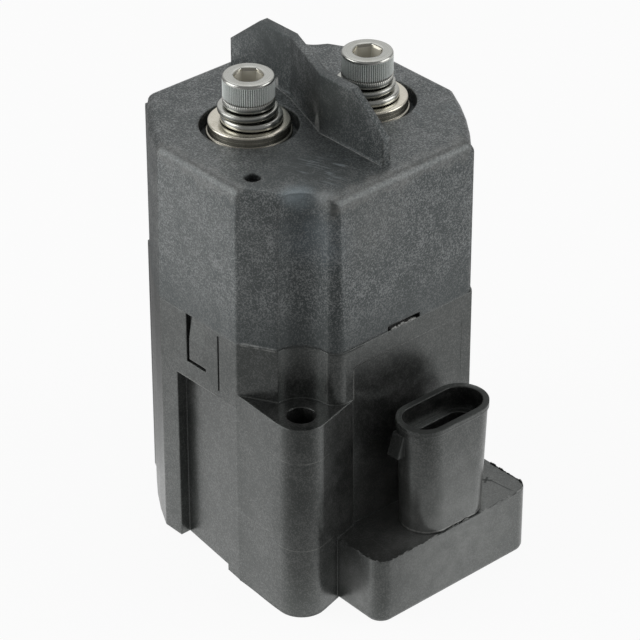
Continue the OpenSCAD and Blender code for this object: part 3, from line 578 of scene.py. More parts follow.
@dataclass(frozen=True)
class Moulding(Finish):
    """Glass filled plastic with pale fibres, worn edges, rubbed streaks, mould lines, painted highlights and
    painted shade.
    """

    fibre: Colour = (0.1, 0.1, 0.1)
    roughness: float = 0.5
    patch: float = 0.3
    fleck: float = 0.2
    patch_size: float = 6.0
    fleck_size: float = 0.5
    edge: float = 0.4
    edge_mm: float = 0.5
    edge_colour: Colour = (0.12, 0.118, 0.112)
    relief_mm: float = 0.02
    ior: float = 1.7
    specular: float = 0.75
    skin: float = 0.4
    tint: Colour = (0.9, 1.0, 1.0)
    calm_z: Band = (0.0, 0.0)
    calm_fleck: float = 0.35
    calm_skin: float = 0.6
    cloud_band: Band = (0.39, 0.61)
    rough_swing: float = 0.16
    crevice: float = 0.8
    crevice_rough: float = 0.4
    dull_rough: float = 0.1
    dent_rough: float = 0.4
    dent_depth: float = 3.0
    relief: float = 0.35
    rub: float = 0.75
    light_patch_core: float = 0.1
    rub_core: float = 0.35
    blot_band: Band = (0.2, 0.75)
    gap_mm: float = 1.5
    rub_colour: Colour = (0.2, 0.225, 0.24)
    rubs: Tuple[Rub, ...] = ()
    painted_light_patches: Tuple[PaintedLightPatch, ...] = ()
    lines: Tuple[MouldAndLightLine, ...] = ()

    def material(self) -> bpy.types.Material:
        """Build the material.

        Returns:
            Material of the moulding.
        """
        made, graph, surface = self.shader()
        place = graph.place_mm()
        grain = graph.effect(Effect.FIBRE, Place=place, Patch_Size=self.patch_size,
                             Fleck_Size=self.fleck_size)
        cloud = graph.step(grain["Patch"], *self.cloud_band)
        colour = graph.mix(graph.times(cloud, self.patch), self.colour, self.fibre)
        fleck, skin = grain["Fleck"], graph.times(grain["Skin"], self.skin)
        if self.calm_z[1] > self.calm_z[0]:
            lively = graph.step(graph.split(place)["Z"], *self.calm_z)
            fleck = graph.times(fleck, graph.plus(self.calm_fleck, graph.times(lively, 1 - self.calm_fleck)))
            skin = graph.times(skin, graph.plus(self.calm_skin, graph.times(lively, 1 - self.calm_skin)))
        colour = graph.mix(graph.times(fleck, self.fleck), colour, self.fibre)
        worn = graph.effect(Effect.WEAR_AND_SHADE, Place=place, Width_mm=self.edge_mm, Gap_mm=self.gap_mm)
        colour = graph.mix(graph.times(worn["Edge"], self.edge), colour, self.edge_colour)
        colour, dent, dull = self.marked(graph, place, colour)
        # Painted shade: narrow gaps and corners darkened towards DARK.
        colour = graph.mix(graph.times(worn["Crevice"], self.crevice), colour, DARK)
        graph.feed(surface.inputs["Base Color"], colour)
        rough = graph.swing(self.roughness, grain["Patch"], self.rough_swing)
        rough = graph.plus(rough, graph.times(worn["Crevice"], self.crevice_rough))
        height = grain["Height"]
        if dull is not None:
            rough = graph.plus(rough, graph.times(dull, self.dull_rough))
            skin = graph.times(skin, graph.rest(dull))
        if dent is not None:
            rough = graph.plus(rough, graph.times(dent, self.dent_rough))
            skin = graph.times(skin, graph.rest(dent))
            height = graph.minus(height, graph.times(dent, self.dent_depth))
        graph.feed(surface.inputs["Roughness"], rough)
        surface.inputs["Specular Tint"].default_value = rgba(self.tint)
        surface.inputs["IOR"].default_value = self.ior
        surface.inputs["Specular IOR Level"].default_value = self.specular
        graph.feed(surface.inputs["Coat Weight"], skin)
        surface.inputs["Coat Roughness"].default_value = self.roughness
        surface.inputs["Coat IOR"].default_value = self.ior
        self.bump(graph, surface, height, self.relief, self.relief_mm, worn["Normal"])
        return made

    def marked(self, graph: Graph, place: Socket,
               colour: Socket) -> Tuple[Socket, Optional[Socket], Optional[Socket]]:
        """Add patches of painted light and painted shade, rubbed streaks, and lines that are mould lines or
        painted highlights and shadows.

        Args:
            graph: Graph of the material.
            place: Coordinates in millimetres.
            colour: Colour without marks.

        Returns:
            Colour with marks, and masks of the dark lines and of the dark patches, if there are any.
        """
        dent: Optional[Socket] = None
        dull: Optional[Socket] = None
        if not (self.rubs or self.painted_light_patches or self.lines):
            return colour, dent, dull
        wander = graph.noise(place, 0.35, 3.0)
        gap = graph.noise(place, 1.1, 3.0, 0.7)
        blot = graph.plus(0.5, graph.times(graph.step(wander, *self.blot_band), 0.5))
        # Patches of painted light and painted shade; the dark ones also dull the surface.
        for light_patch in self.painted_light_patches:
            near = graph.near(place, light_patch.middle, self.light_patch_core * light_patch.reach, light_patch.reach)
            cloud = graph.times(graph.times(near, blot), light_patch.strength)
            colour = graph.mix(cloud, colour, light_patch.colour)
            if light_patch.colour is DARK:
                dull = cloud if dull is None else graph.larger(dull, cloud)
        for rub in self.rubs:
            streak = graph.effect(Effect.SCUFF, Place=place, Turn=rub.turn, Amount=rub.amount)["Streak"]
            near = graph.near(place, rub.middle, self.rub_core * rub.reach, rub.reach)
            colour = graph.mix(graph.times(graph.times(streak, near), self.rub), colour, self.rub_colour)
        # Lines: mould lines, crumbs and flash, and lines of painted highlight and painted shade.
        for line in self.lines:
            mask = graph.effect(Effect.LINE, Place=place, Middle=line.middle, Across=line.across,
                                Reach=line.reach, Width=line.width, Breaks=line.breaks, Wander=wander,
                                Gap=gap)["Line"]
            mask = graph.times(mask, line.strength)
            colour = graph.mix(mask, colour, line.colour)
            if line.colour is DARK:
                dent = mask if dent is None else graph.larger(dent, mask)
        return colour, dent, dull


@dataclass(frozen=True)
class Plating(Finish):
    """Dull plated or bare turned metal with rings, stains, bright edges and painted shade in narrow gaps."""

    roughness: float = 0.3
    stain: float = 0.25
    stain_colour: Colour = (0.3, 0.26, 0.2)
    edge: float = 0.5
    edge_mm: float = 0.25
    ring_mm: float = 0.004
    gap_mm: float = 0.7
    satin_band: Band = (0.0, 0.0)
    satin_and_light_colour: Colour = (0.93, 0.97, 0.945)
    satin_rough: float = 0.45
    satin_cover: float = 0.55
    tarnish_and_shade_band: Band = (0.0, 0.0)
    tarnish_and_shade_colour: Colour = (0.05, 0.045, 0.036)
    tarnish_and_shade_cover: float = 0.3
    stain_band: Band = (0.45, 0.75)
    edge_gain: float = 1.4
    edge_breaks: float = 0.3
    rough_swing: float = 0.2
    relief: float = 0.3
    crevice: float = 0.9
    crevice_shade_colour: Colour = (0.012, 0.011, 0.01)
    well_r: float = 0.0
    well_rim: Band = (0.05, -0.1)
    well_colour: Colour = (0.52, 0.5, 0.43)

    def material(self) -> bpy.types.Material:
        """Build the material.

        Returns:
            Material of the metal.
        """
        made, graph, surface = self.shader()
        place = graph.place_mm()
        marks = graph.effect(Effect.TURNING, Place=place)
        worn = graph.effect(Effect.WEAR_AND_SHADE, Place=place, Width_mm=self.edge_mm, Breaks=self.edge_breaks,
                            Gap_mm=self.gap_mm)
        stain = graph.times(graph.step(marks["Stain"], *self.stain_band), self.stain)
        colour = graph.mix(stain, self.colour, self.stain_colour)
        bright = tuple(min(1.0, c * self.edge_gain) for c in self.colour)
        colour = graph.mix(graph.times(worn["Edge"], self.edge), colour, bright)
        rough = graph.swing(self.roughness, marks["Ring"], self.rough_swing)
        surface.inputs["Metallic"].default_value = 1.0
        # The knurled band is satin, and its near-white colour is painted light that brightens the screw head's
        # sides.
        if self.satin_band[1] > self.satin_band[0]:
            band = self.band(graph, place, *self.satin_band)
            rough = graph.plus(rough, graph.times(band, self.satin_rough))
            colour = graph.mix(band, colour, self.satin_and_light_colour)
            graph.feed(surface.inputs["Metallic"], graph.rest(graph.times(band, self.satin_cover)))
        # Painted shade with some tarnish: a band of the piece, the stud's side below its rolled edge,
        # darkened.
        if self.tarnish_and_shade_band[1] > self.tarnish_and_shade_band[0]:
            band = self.band(graph, place, *self.tarnish_and_shade_band)
            colour = graph.mix(graph.times(band, self.tarnish_and_shade_cover), colour, self.tarnish_and_shade_colour)
        if self.well_r > 0.0:
            out = graph.vector("LENGTH", graph.vector("MULTIPLY", place, (1.0, 1.0, 0.0)))
            inside = graph.step(out, *(self.well_r + off for off in self.well_rim))
            colour = graph.mix(inside, colour, self.well_colour)
        # Painted shade: narrow gaps and valleys, such as those between the stacked washers and in the knurl,
        # darkened.
        colour = graph.mix(graph.times(worn["Crevice"], self.crevice), colour, self.crevice_shade_colour)
        graph.feed(surface.inputs["Base Color"], colour)
        graph.feed(surface.inputs["Roughness"], rough)
        self.bump(graph, surface, marks["Ring"], self.relief, self.ring_mm, worn["Normal"])
        return made

    @staticmethod
    def band(graph: Graph, place: Socket, low: float, high: float) -> Socket:
        """Mask between two heights.

        Args:
            graph: Graph of the material.
            place: Coordinates in millimetres.
            low: Lower height.
            high: Upper height.

        Returns:
            Mask from 0 to 1.
        """
        blur = 0.1
        z = graph.split(place)["Z"]
        return graph.times(graph.step(z, low - blur, low + blur), graph.step(z, high + blur, high - blur))


@dataclass(frozen=True)
class Mineral(Finish):
    """Fired or sintered body, fine grained and slightly blotched."""

    roughness: float = 0.45
    patch: float = 0.12
    patch_size: float = 4.0
    patch_band: Band = (0.35, 0.65)
    grain_size: float = 0.4
    rough_swing: float = 0.2
    relief: float = 0.3
    relief_mm: float = 0.02

    def material(self) -> bpy.types.Material:
        """Build the material.

        Returns:
            Material of the body.
        """
        made, graph, surface = self.shader()
        place = graph.place_mm()
        grain = graph.effect(Effect.FIBRE, Place=place, Patch_Size=self.patch_size,
                             Fleck_Size=self.grain_size)
        dark = tuple(c * (1 - self.patch) for c in self.colour)
        colour = graph.mix(graph.step(grain["Patch"], *self.patch_band), dark, self.colour)
        graph.feed(surface.inputs["Base Color"], colour)
        rough = graph.swing(self.roughness, grain["Fleck"], self.rough_swing)
        graph.feed(surface.inputs["Roughness"], rough)
        self.bump(graph, surface, grain["Height"], self.relief, self.relief_mm)
        return made


@dataclass(frozen=True)
class WireLayers(Finish):
    """Enamelled wire wound in even turns, with painted shade in the grooves between turns."""

    pitch_mm: float = 0.42

    def material(self) -> bpy.types.Material:
        """Build the material.

        Returns:
            Material of the winding.
        """
        made, graph, surface = self.shader()
        place = graph.place_mm()
        turns = graph.times(graph.split(place)["Z"], 2 * math.pi / self.pitch_mm)
        wave = graph.times(graph.plus(graph.math("SINE", turns), 1.0), 0.5)
        dark = tuple(c * 0.35 for c in self.colour)
        # Painted shade: the grooves between turns darkened.
        colour = graph.mix(graph.step(wave, 0.05, 0.5), dark, self.colour)
        blotch = graph.effect(Effect.TURNING, Place=place)["Stain"]
        colour = graph.mix(graph.times(blotch, 0.3), colour, dark)
        graph.feed(surface.inputs["Base Color"], colour)
        surface.inputs["Metallic"].default_value = 0.9
        graph.feed(surface.inputs["Roughness"], graph.minus(0.5, graph.times(wave, 0.2)))
        self.bump(graph, surface, wave, 0.8, 0.1)
        return made


@dataclass(frozen=True)
class Laminate(Finish):
    """Board laminate with lacquered tracks."""

    def material(self) -> bpy.types.Material:
        """Build the material.

        Returns:
            Material of the board.
        """
        made, graph, surface = self.shader()
        place = graph.place_mm()
        grid = graph.node("TexBrick", offset=0.35, squash=1.6, squash_frequency=3)
        graph.feed(grid.inputs["Vector"], place)
        grid.inputs["Scale"].default_value = 0.45
        grid.inputs["Mortar Size"].default_value = 0.06
        pale = tuple(min(1.0, c * 1.7) for c in self.colour)
        colour = graph.mix(grid.outputs["Fac"], self.colour, pale)
        blotch = graph.effect(Effect.TURNING, Place=place)["Stain"]
        colour = graph.mix(graph.times(blotch, 0.25), colour, tuple(c * 0.6 for c in self.colour))
        graph.feed(surface.inputs["Base Color"], colour)
        graph.feed(surface.inputs["Roughness"], graph.plus(0.2, graph.times(blotch, 0.2)))
        self.bump(graph, surface, grid.outputs["Fac"], 0.4, 0.04)
        return made


class Wardrobe:
    """Finishes by the record's slot; each material is built once."""

    def __init__(self, finishes: Sequence[Finish]) -> None:
        """Keep the finishes.

        Args:
            finishes: One finish per slot.
        """
        self.finishes = {finish.slot: finish for finish in finishes}
        self.made: Dict[str, bpy.types.Material] = {}

    def material(self, slot: str) -> bpy.types.Material:
        """Material of a slot.

        Args:
            slot: Slot's name.

        Returns:
            Its material.
        """
        if slot not in self.made:
            self.made[slot] = self.finishes[slot].material()
        return self.made[slot]

    def dress_node(self, name: str, finish: Optional[str] = None) -> bpy.types.Object:
        """Dress a CAD node with the finish of its slot, or with another one.

        Args:
            name: Node's name.
            finish: Finish, where it isn't the one of the node's slot.

        Returns:
            The node's object.
        """
        slots = {part["node"]: part["material_slot"] for part in frame["record"]["subparts"]}
        node = frame["nodes"][name]
        node.data.materials.clear()
        node.data.materials.append(self.material(finish or slots[name]))
        LOG.info("dressed %s with %s", name, finish or slots[name])
        return node

    def dress_piece(self, piece: bpy.types.Object, slot: str) -> None:
        """Dress a new piece.

        Args:
            piece: Piece's object.
            slot: Slot of its finish.
        """
        piece.data.materials.clear()
        piece.data.materials.append(self.material(slot))


@dataclass(frozen=True)
class Ring:
    """One ring of a turned piece: its height and its radius at each angle, in millimetres."""

    z: float
    radius: Callable[[float], float]


def plain(radius: float) -> Callable[[float], float]:
    """Radius that is the same all round."""
    return lambda angle: radius


def hexagon(across: float) -> Callable[[float], float]:
    """Radius of a hexagon at an angle.

    Args:
        across: Width across the flats.

    Returns:
        Radius over the angle.
    """
    sixth = math.pi / 3
    return lambda angle: across / 2 / math.cos(angle % sixth - sixth / 2)


def ring_faces(low: int, high: int, count: int) -> List[List[int]]:
    """Faces between two rings of points.

    Args:
        low: Number of the first ring's first point.
        high: Number of the second ring's first point.
        count: Points on each ring.

    Returns:
        Corner numbers of each face.
    """
    return [[low + i, low + (i + 1) % count, high + (i + 1) % count, high + i] for i in range(count)]


class PieceMaker:
    """Makes meshes in millimetres and hangs them on a body."""

    def __init__(self, wardrobe: Wardrobe) -> None:
        """Keep the finishes.

        Args:
            wardrobe: Finishes by slot.
        """
        self.wardrobe = wardrobe

    def piece(self, name: str, vertices: Sequence[Point], faces: Sequence[Sequence[int]], slot: str,
              body: Body = Body.HOUSING, at: Point = (0.0, 0.0, 0.0),
              turn: float = 0.0) -> bpy.types.Object:
        """Make a piece that rides on a body.

        Args:
            name: Piece's name.
            vertices: Points in millimetres, in the piece's own frame.
            faces: Corner numbers of each face.
            slot: Slot of its finish.
            body: Body that it rides on.
            at: Place of its origin in millimetres.
            turn: Turn about Z in degrees.

        Returns:
            The piece's object.
        """
        mesh = bpy.data.meshes.new(name)
        mesh.from_pydata([Vector(v) * MM for v in vertices], [], [tuple(f) for f in faces])
        mesh.validate()
        mesh.polygons.foreach_set("use_smooth", [True] * len(mesh.polygons))
        made = add_object(name, mesh)
        made.matrix_world = Matrix.Translation(Vector(at) * MM) @ Matrix.Rotation(math.radians(turn), 4, "Z")
        self.wardrobe.dress_piece(made, slot)
        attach(made, body.value)
        LOG.info("made %s on %s: %d faces", name, body.value, len(faces))
        return made

    @staticmethod
    def lathe(rings: Sequence[Ring], segments: int, closed: bool) -> Shape:
        """Skin between rings round the Z axis.

        Args:
            rings: Rings in order along the profile.
            segments: Points on each ring.
            closed: Whether the last ring joins the first; otherwise both ends get a cap.

        Returns:
            Points and faces.
        """
        points: List[Point] = []
        for ring in rings:
            for i in range(segments):
                angle = 2 * math.pi * i / segments
                r = ring.radius(angle)
                points.append((r * math.cos(angle), r * math.sin(angle), ring.z))
        count = len(rings)
        faces: List[List[int]] = []
        for k in range(count if closed else count - 1):
            faces += ring_faces(k * segments, (k + 1) % count * segments, segments)
        if not closed:
            faces.append(list(range(segments))[::-1])
            faces.append([(count - 1) * segments + i for i in range(segments)])
        return points, faces

    @staticmethod
    def sweep(path: Sequence[Tuple[Vector, Vector, Vector]], section: Sequence[Tuple[float, float]]) -> Shape:
        """Carry a section along a path.

        Args:
            path: Points with the section's two directions.
            section: Section's points.

        Returns:
            Points and faces, closed at both ends.
        """
        points = [tuple(p + u * a + v * b) for p, u, v in path for a, b in section]
        sides = len(section)
        faces = [face for i in range(len(path) - 1) for face in ring_faces(i * sides, (i + 1) * sides, sides)]
        faces.append(list(range(sides))[::-1])
        faces.append([(len(path) - 1) * sides + j for j in range(sides)])
        return points, faces

    @staticmethod
    def soften(piece: bpy.types.Object, width_mm: float, angle_deg: float = 32.0, segments: int = 3) -> None:
        """Round the sharp edges of a piece with modifiers.

        Args:
            piece: Object to soften.
            width_mm: Width of the rounding.
            angle_deg: Edges sharper than this are rounded.
            segments: Steps of the rounding.
        """
        weld = piece.modifiers.new("join corners", "WELD")
        weld.merge_threshold = 0.002 * MM
        bevel = piece.modifiers.new("edge rounding", "BEVEL")
        bevel.width = width_mm * MM
        bevel.segments = segments
        bevel.limit_method = "ANGLE"
        bevel.angle_limit = math.radians(angle_deg)
        bevel.use_clamp_overlap = False
        bevel.miter_outer = "MITER_ARC"
        even = piece.modifiers.new("even shading", "WEIGHTED_NORMAL")
        even.weight = 60
        even.keep_sharp = True


@dataclass
class Housing:
    """Cover, base and the tray's lower plate."""

    maker: PieceMaker

    def build(self) -> None:
        """Dress the mouldings."""
        for name in ("cover", "base", "tray_cover"):
            self.maker.wardrobe.dress_node(name)


@dataclass
class MouldFlash:
    """Ragged fin that the mould leaves on the tray, and crumbs in the rim notch."""

    maker: PieceMaker
    tray_x: Tuple[float, float] = (-18.7, 21.3)
    tray_y: Tuple[float, float] = (-41.7, -30.6)
    tray_z: float = 14.3
    tray_r: float = 3.0
    tray_step: float = 0.18
    tray_sink: float = 0.03
    notch_x: Tuple[float, float] = (-4.2, 2.4)
    notch_y: float = -28.0
    notch_steps: int = 70
    notch_sink: float = 0.02
    parting_z: float = 54.9
    seed: int = 7

    def build(self) -> None:
        """Make the fin of the tray and the crumbs of the rim notch."""
        self.tray_fin()
        (x0, x1), z = self.notch_x, self.parting_z - self.notch_sink
        crumbs = [Vector((x0 + (x1 - x0) * i / self.notch_steps, self.notch_y, z))
                  for i in range(self.notch_steps + 1)]
        self.fin("notch_crumbs", crumbs, Vector((0.0, -1.0, 0.0)), Vector(UP), 0.3, 0.15, 0.75)

    def tray_fin(self) -> None:
        """Fin along the tray's upper edge, round both corners."""
        (x0, x1), (y0, y1), r = self.tray_x, self.tray_y, self.tray_r
        foot_z = self.tray_z - self.tray_sink
        corners = [(x0, y1)]
        for middle, start in (((x0 + r, y0 + r), 180), ((x1 - r, y0 + r), 270)):
            for i in range(9):
                a = math.radians(start + 90 * i / 8)
                corners.append((middle[0] + r * math.cos(a), middle[1] + r * math.sin(a)))
        corners.append((x1, y1))
        path: List[Vector] = []
        for (ax, ay), (bx, by) in zip(corners, corners[1:]):
            steps = max(1, int(math.hypot(bx - ax, by - ay) / self.tray_step))
            path += [Vector((ax + (bx - ax) * i / steps, ay + (by - ay) * i / steps, foot_z))
                     for i in range(steps)]
        middle = Vector(((x0 + x1) / 2, y1, self.tray_z))
        self.fin("tray_flash", path, middle, Vector(UP), 0.26, 0.05, 0.5, inward=True)

    def fin(self, name: str, path: Sequence[Vector], out: Vector, up: Vector, thick: float, low: float,
            high: float, inward: bool = False) -> None:
        """Make one ragged fin.

        Args:
            name: Piece's name.
            path: Points along the fin's foot, in millimetres.
            out: Direction of its thickness, or the point it leans to.
            up: Direction of its height.
            thick: Thickness at the foot.
            low: Least height.
            high: Greatest height.
            inward: Whether out is a point.
        """
        coarse, fine, fine_share, middle = 0.9, 3.1, 0.6, 0.45
        shift = Vector((self.seed, 0, 0))
        rows = []
        for point in path:
            wave = noise.noise(point * coarse + shift) + fine_share * noise.noise(point * fine)
            height = low + (high - low) * max(0.0, min(1.0, middle + wave))
            side = (out - point) if inward else out
            side = Vector((side.x, side.y, 0.0)).normalized()
            rows.append((point, side * thick, up * height))
        section = [(0.0, 0.0), (1.0, 0.0), (0.75, 0.6), (0.3, 1.0), (0.0, 0.7)]
        self.maker.piece(name, *self.maker.sweep(rows, section), "base_plastic")


@dataclass
class TerminalStack:
    """Stud, washers and screw of one terminal."""

    maker: PieceMaker
    side: Side
    axis: Tuple[float, float] = (1.3, 1.2)
    pitch: float = 24.4
    turn: float = -18.2
    face_z: float = 89.05
    washer_d: float = 12.0
    washer_t: float = 1.6
    lock_d: float = 11.6
    lock_t: float = 1.6
    lock_rise: float = 0.22
    lock_gap: float = 10.0
    screw_d: float = 6.0
    head_d: float = 10.0
    head_h: float = 6.0
    hex_af: float = 5.0
    hex_depth: float = 3.0
    shank_l: float = 14.0
    knurls: int = 72
    segments: int = 576
    view_right: Tuple[float, float] = (0.746, -0.666)

    @property
    def place(self) -> Tuple[float, float]:
        """X and Y of the terminal's axis."""
        turn = math.radians(self.turn)
        off = self.side.value * self.pitch / 2
        return self.axis[0] + off * math.cos(turn), self.axis[1] + off * math.sin(turn)

    @property
    def nudges(self) -> Tuple[float, float]:
        """How far the lock washer and the flat washer sit off the axis, to the right in the photograph."""
        return (-0.2, 0.5) if self.side is Side.LEFT else (-0.4, 0.2)

    @property
    def screw_turn(self) -> float:
        """How far the screw came to rest from the terminal line, in degrees."""
        return -23.6 if self.side is Side.LEFT else -10.6

    @property
    def suffix(self) -> str:
        """End of the piece's name."""
        return self.side.name.lower()

    @property
    def head_z(self) -> float:
        """Height of the head's lower face."""
        return self.face_z + self.washer_t + self.lock_t + self.lock_rise

    def build(self) -> None:
        """Make the four pieces."""
        self.stud()
        self.flat_washer()
        self.lock_washer()
        self.screw()

    def hang(self, name: str, shape: Shape, z: float, slot: str, node: str, nudge: float = 0.0,
             turn: float = 0.0) -> None:
        """Hang a piece on the terminal's axis in place of its CAD node.

        Args:
            name: Piece's name without its side.
            shape: Points and faces.
            z: Height of its origin.
            slot: Slot of its finish.
            node: CAD node that it stands for.
            nudge: How far it sits off the axis, to the right in the photograph.
            turn: Its turn from the terminal line in degrees.
        """
        x, y = (axis + nudge * way for axis, way in zip(self.place, self.view_right))
        made = self.maker.piece(f"{name}_{self.suffix}", *shape, slot, at=(x, y, z), turn=self.turn + turn)
        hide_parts(node)

    def stud(self) -> None:
        """Contact stud with a rolled upper edge and a foot flange."""
        head_r, foot_r, neck_r, stem_r, bore_r = 7.9, 8.3, 6.9, 4.5, 3.06
        foot_z, tip_z, step_z, bore_z = -2.0, -25.95, -13.15, -12.8
        rings = [
            (tip_z, 0.05), (tip_z, stem_r - 1.2), (tip_z + 0.35, stem_r - 0.35), (tip_z + 1.2, stem_r),
            (step_z - 0.02, stem_r), (step_z, stem_r + 0.02), (step_z, neck_r - 0.02), (step_z + 0.02, neck_r),
            (foot_z - 0.72, neck_r), (foot_z - 0.7, neck_r + 0.02), (foot_z - 0.7, foot_r - 0.15),
            (foot_z - 0.55, foot_r), (foot_z - 0.2, foot_r), (foot_z, foot_r - 0.2), (foot_z, head_r + 0.05),
            (foot_z + 0.05, head_r), (-0.42, head_r), (-0.2, head_r - 0.04), (-0.06, head_r - 0.16),
            (0.0, head_r - 0.36), (0.0, bore_r + 0.3), (-0.3, bore_r), (bore_z, bore_r), (bore_z - 0.02, 0.05),
        ]
        shape = self.maker.lathe([Ring(z, plain(r)) for z, r in rings], 128, False)
        self.hang("stud", shape, self.face_z, "terminal_plating", f"terminal_{self.suffix}")

    def flat_washer(self) -> None:
        """Stamped washer: rolled upper edge, sheared lower edge."""
        r, hole, t = self.washer_d / 2, self.screw_d / 2 + 0.55, self.washer_t
        rings = [(0.0, hole), (0.0, r - 0.5), (0.14, r - 0.4), (0.22, r - 0.08), (0.34, r), (t - 0.75, r),
                 (t - 0.45, r - 0.06), (t - 0.22, r - 0.2), (t - 0.1, r - 0.42), (t - 0.06, r - 0.8),
                 (t - 0.06, hole + 0.15), (t - 0.2, hole)]
        shape = self.maker.lathe([Ring(z, plain(q)) for z, q in rings], 96, True)
        self.hang("flat_washer", shape, self.face_z, "fastener_plating", "flat_washers", self.nudges[1])

    def lock_washer(self) -> None:
        """Split spring washer, a helix of one turn with rounded corners."""
        inner, outer = self.screw_d / 2 + 0.45, self.lock_d / 2
        c, low, high = 0.22, 0.32, self.lock_t - 0.22
        section = [(inner + c, low), (outer - c, low), (outer - 0.06, low + 0.07), (outer, low + c),
                   (outer, high - c), (outer - 0.06, high - 0.07), (outer - c, high), (inner + c, high),
                   (inner, high - c), (inner, low + c)]
        steps = 120
        path = []
        for i in range(steps + 1):
            angle = math.radians((360 - self.lock_gap) * i / steps)
            out = Vector((math.cos(angle), math.sin(angle), 0))
            path.append((Vector((0, 0, self.lock_rise * i / steps)), out, Vector((0, 0, 1))))
        shape = self.maker.sweep(path, section)
        self.hang("lock_washer", shape, self.face_z + self.washer_t, "fastener_plating", "lock_washers",
                  self.nudges[0])

    def knurl(self, depth: float) -> Callable[[float], float]:
        """Radius of the knurled band.

        Args:
            depth: Depth of the grooves.

        Returns:
            Radius over the angle.
        """
        def radius(angle: float) -> float:
            """Ridge with a flat top and a sharp valley."""
            return self.head_d / 2 - depth * max(0.0, abs(math.cos(self.knurls * angle / 2)) * 1.5 - 0.5)
        return radius

    def screw(self) -> None:
        """Socket head cap screw with a straight knurl."""
        r, h, s = self.head_d / 2, self.head_h, self.screw_d / 2
        depth, af = self.hex_depth, self.hex_af
        knurl_low, knurl_high = 1.35, h - 0.75
        groove = self.knurl(0.34)
        half = self.knurl(0.15)
        rings = [Ring(-self.shank_l, plain(s - 0.7)), Ring(-self.shank_l + 0.6, plain(s))]
        rings += [Ring(-0.02, plain(s)), Ring(0.0, plain(s + 0.02)), Ring(0.0, plain(r - 0.3)),
                  Ring(0.1, plain(r - 0.1)), Ring(0.28, plain(r)), Ring(knurl_low - 0.12, plain(r)),
                  Ring(knurl_low, half), Ring(knurl_low + 0.15, groove), Ring(knurl_high - 0.2, groove),
                  Ring(knurl_high, half), Ring(knurl_high + 0.14, plain(r)), Ring(h - 0.5, plain(r)),
                  Ring(h - 0.3, plain(r - 0.05)), Ring(h - 0.14, plain(r - 0.15)),
                  Ring(h - 0.04, plain(r - 0.32)), Ring(h, plain(r - 0.55)), Ring(h, plain(r - 1.6)),
                  Ring(h - 0.02, plain(af / 2 + 0.5)), Ring(h - 0.32, hexagon(af)),
                  Ring(h - depth, hexagon(af)), Ring(h - depth - 0.02, hexagon(af - 0.1)),
                  Ring(h - depth - 0.8, plain(0.05))]
        shape = self.maker.lathe(rings, self.segments, False)
        self.hang("screw", shape, self.head_z, "fastener_plating", "terminal_screws", turn=self.screw_turn)


@dataclass
class ControlSocket:
    """Blade pins of the control socket and the smooth skin of its shroud."""

    maker: PieceMaker
    middle: Tuple[float, float] = (2.25, -36.15)
    shroud_w: float = 20.1
    shroud_d: float = 10.6
    shroud_h: float = 25.2
    shroud_z: Tuple[float, float] = (13.3, 37.3)
    shroud_taper: float = 1.2
    skin_t: float = 0.02
    skin_depth: float = 0.6
    skin_rim: float = 0.03
    skin_steps: int = 48
    mouth_z: float = 38.5
    pitch: float = 6.0
    width: float = 1.5
    thickness: float = 0.64
    low_z: float = 5.4
    high_z: float = 26.3
    tip: float = 0.8

    def build(self) -> None:
        """Make the skin and the blades."""
        self.skin()
        self.blades()

    def skin(self) -> None:
        """Outer skin of the tapered shroud, with round ends."""
        r, deep, rim, steps = self.shroud_d / 2 + self.skin_t, self.skin_depth, self.skin_rim, self.skin_steps
        (low, high), (mid_x, mid_y) = self.shroud_z, self.middle
        rings = ((low, 0.0), (low + rim, 0.0), (high - rim, 0.0), (high, 0.0), (high, -deep), (low, -deep))
        points: List[Point] = []
        for z, grow in rings:
            lean = self.shroud_taper * (self.mouth_z - z) / self.shroud_h
            half = (self.shroud_w - self.shroud_d) / 2 - lean
            for i in range(2 * steps):
                angle = math.pi * (i % steps) / (steps - 1) + (math.pi / 2 if i < steps else -math.pi / 2)
                end = mid_x + (-half if i < steps else half)
                points.append((end + (r + grow) * math.cos(angle), mid_y + (r + grow) * math.sin(angle), z))
        count = 2 * steps
        faces = [face for k in range(len(rings))
                 for face in ring_faces(k * count, (k + 1) % len(rings) * count, count)]
        self.maker.piece("shroud_skin", points, faces, "base_plastic")

    def blades(self) -> None:
        """Make both blades, narrowed at their tips."""
        for k, side in enumerate((-1, 1)):
            points: List[Point] = []
            levels = [(self.low_z, 1.0), (self.high_z - self.tip, 1.0), (self.high_z - self.tip / 3, 0.75),
                      (self.high_z, 0.4)]
            for z, share in levels:
                w, t = self.width / 2 * (0.5 + share / 2), self.thickness / 2 * share
                points += [(-w, -t, z), (w, -t, z), (w, t, z), (-w, t, z)]
            faces = [face for i in range(len(levels) - 1) for face in ring_faces(4 * i, 4 * i + 4, 4)]
            faces += [[3, 2, 1, 0], [12, 13, 14, 15]]
            pin = self.maker.piece(f"pin_{k + 1}", points, faces, "terminal_plating",
                                   at=(self.middle[0] + side * self.pitch / 2, self.middle[1], 0.0))
            self.maker.soften(pin, 0.06, 30.0, 2)
            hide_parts("connector_pins")


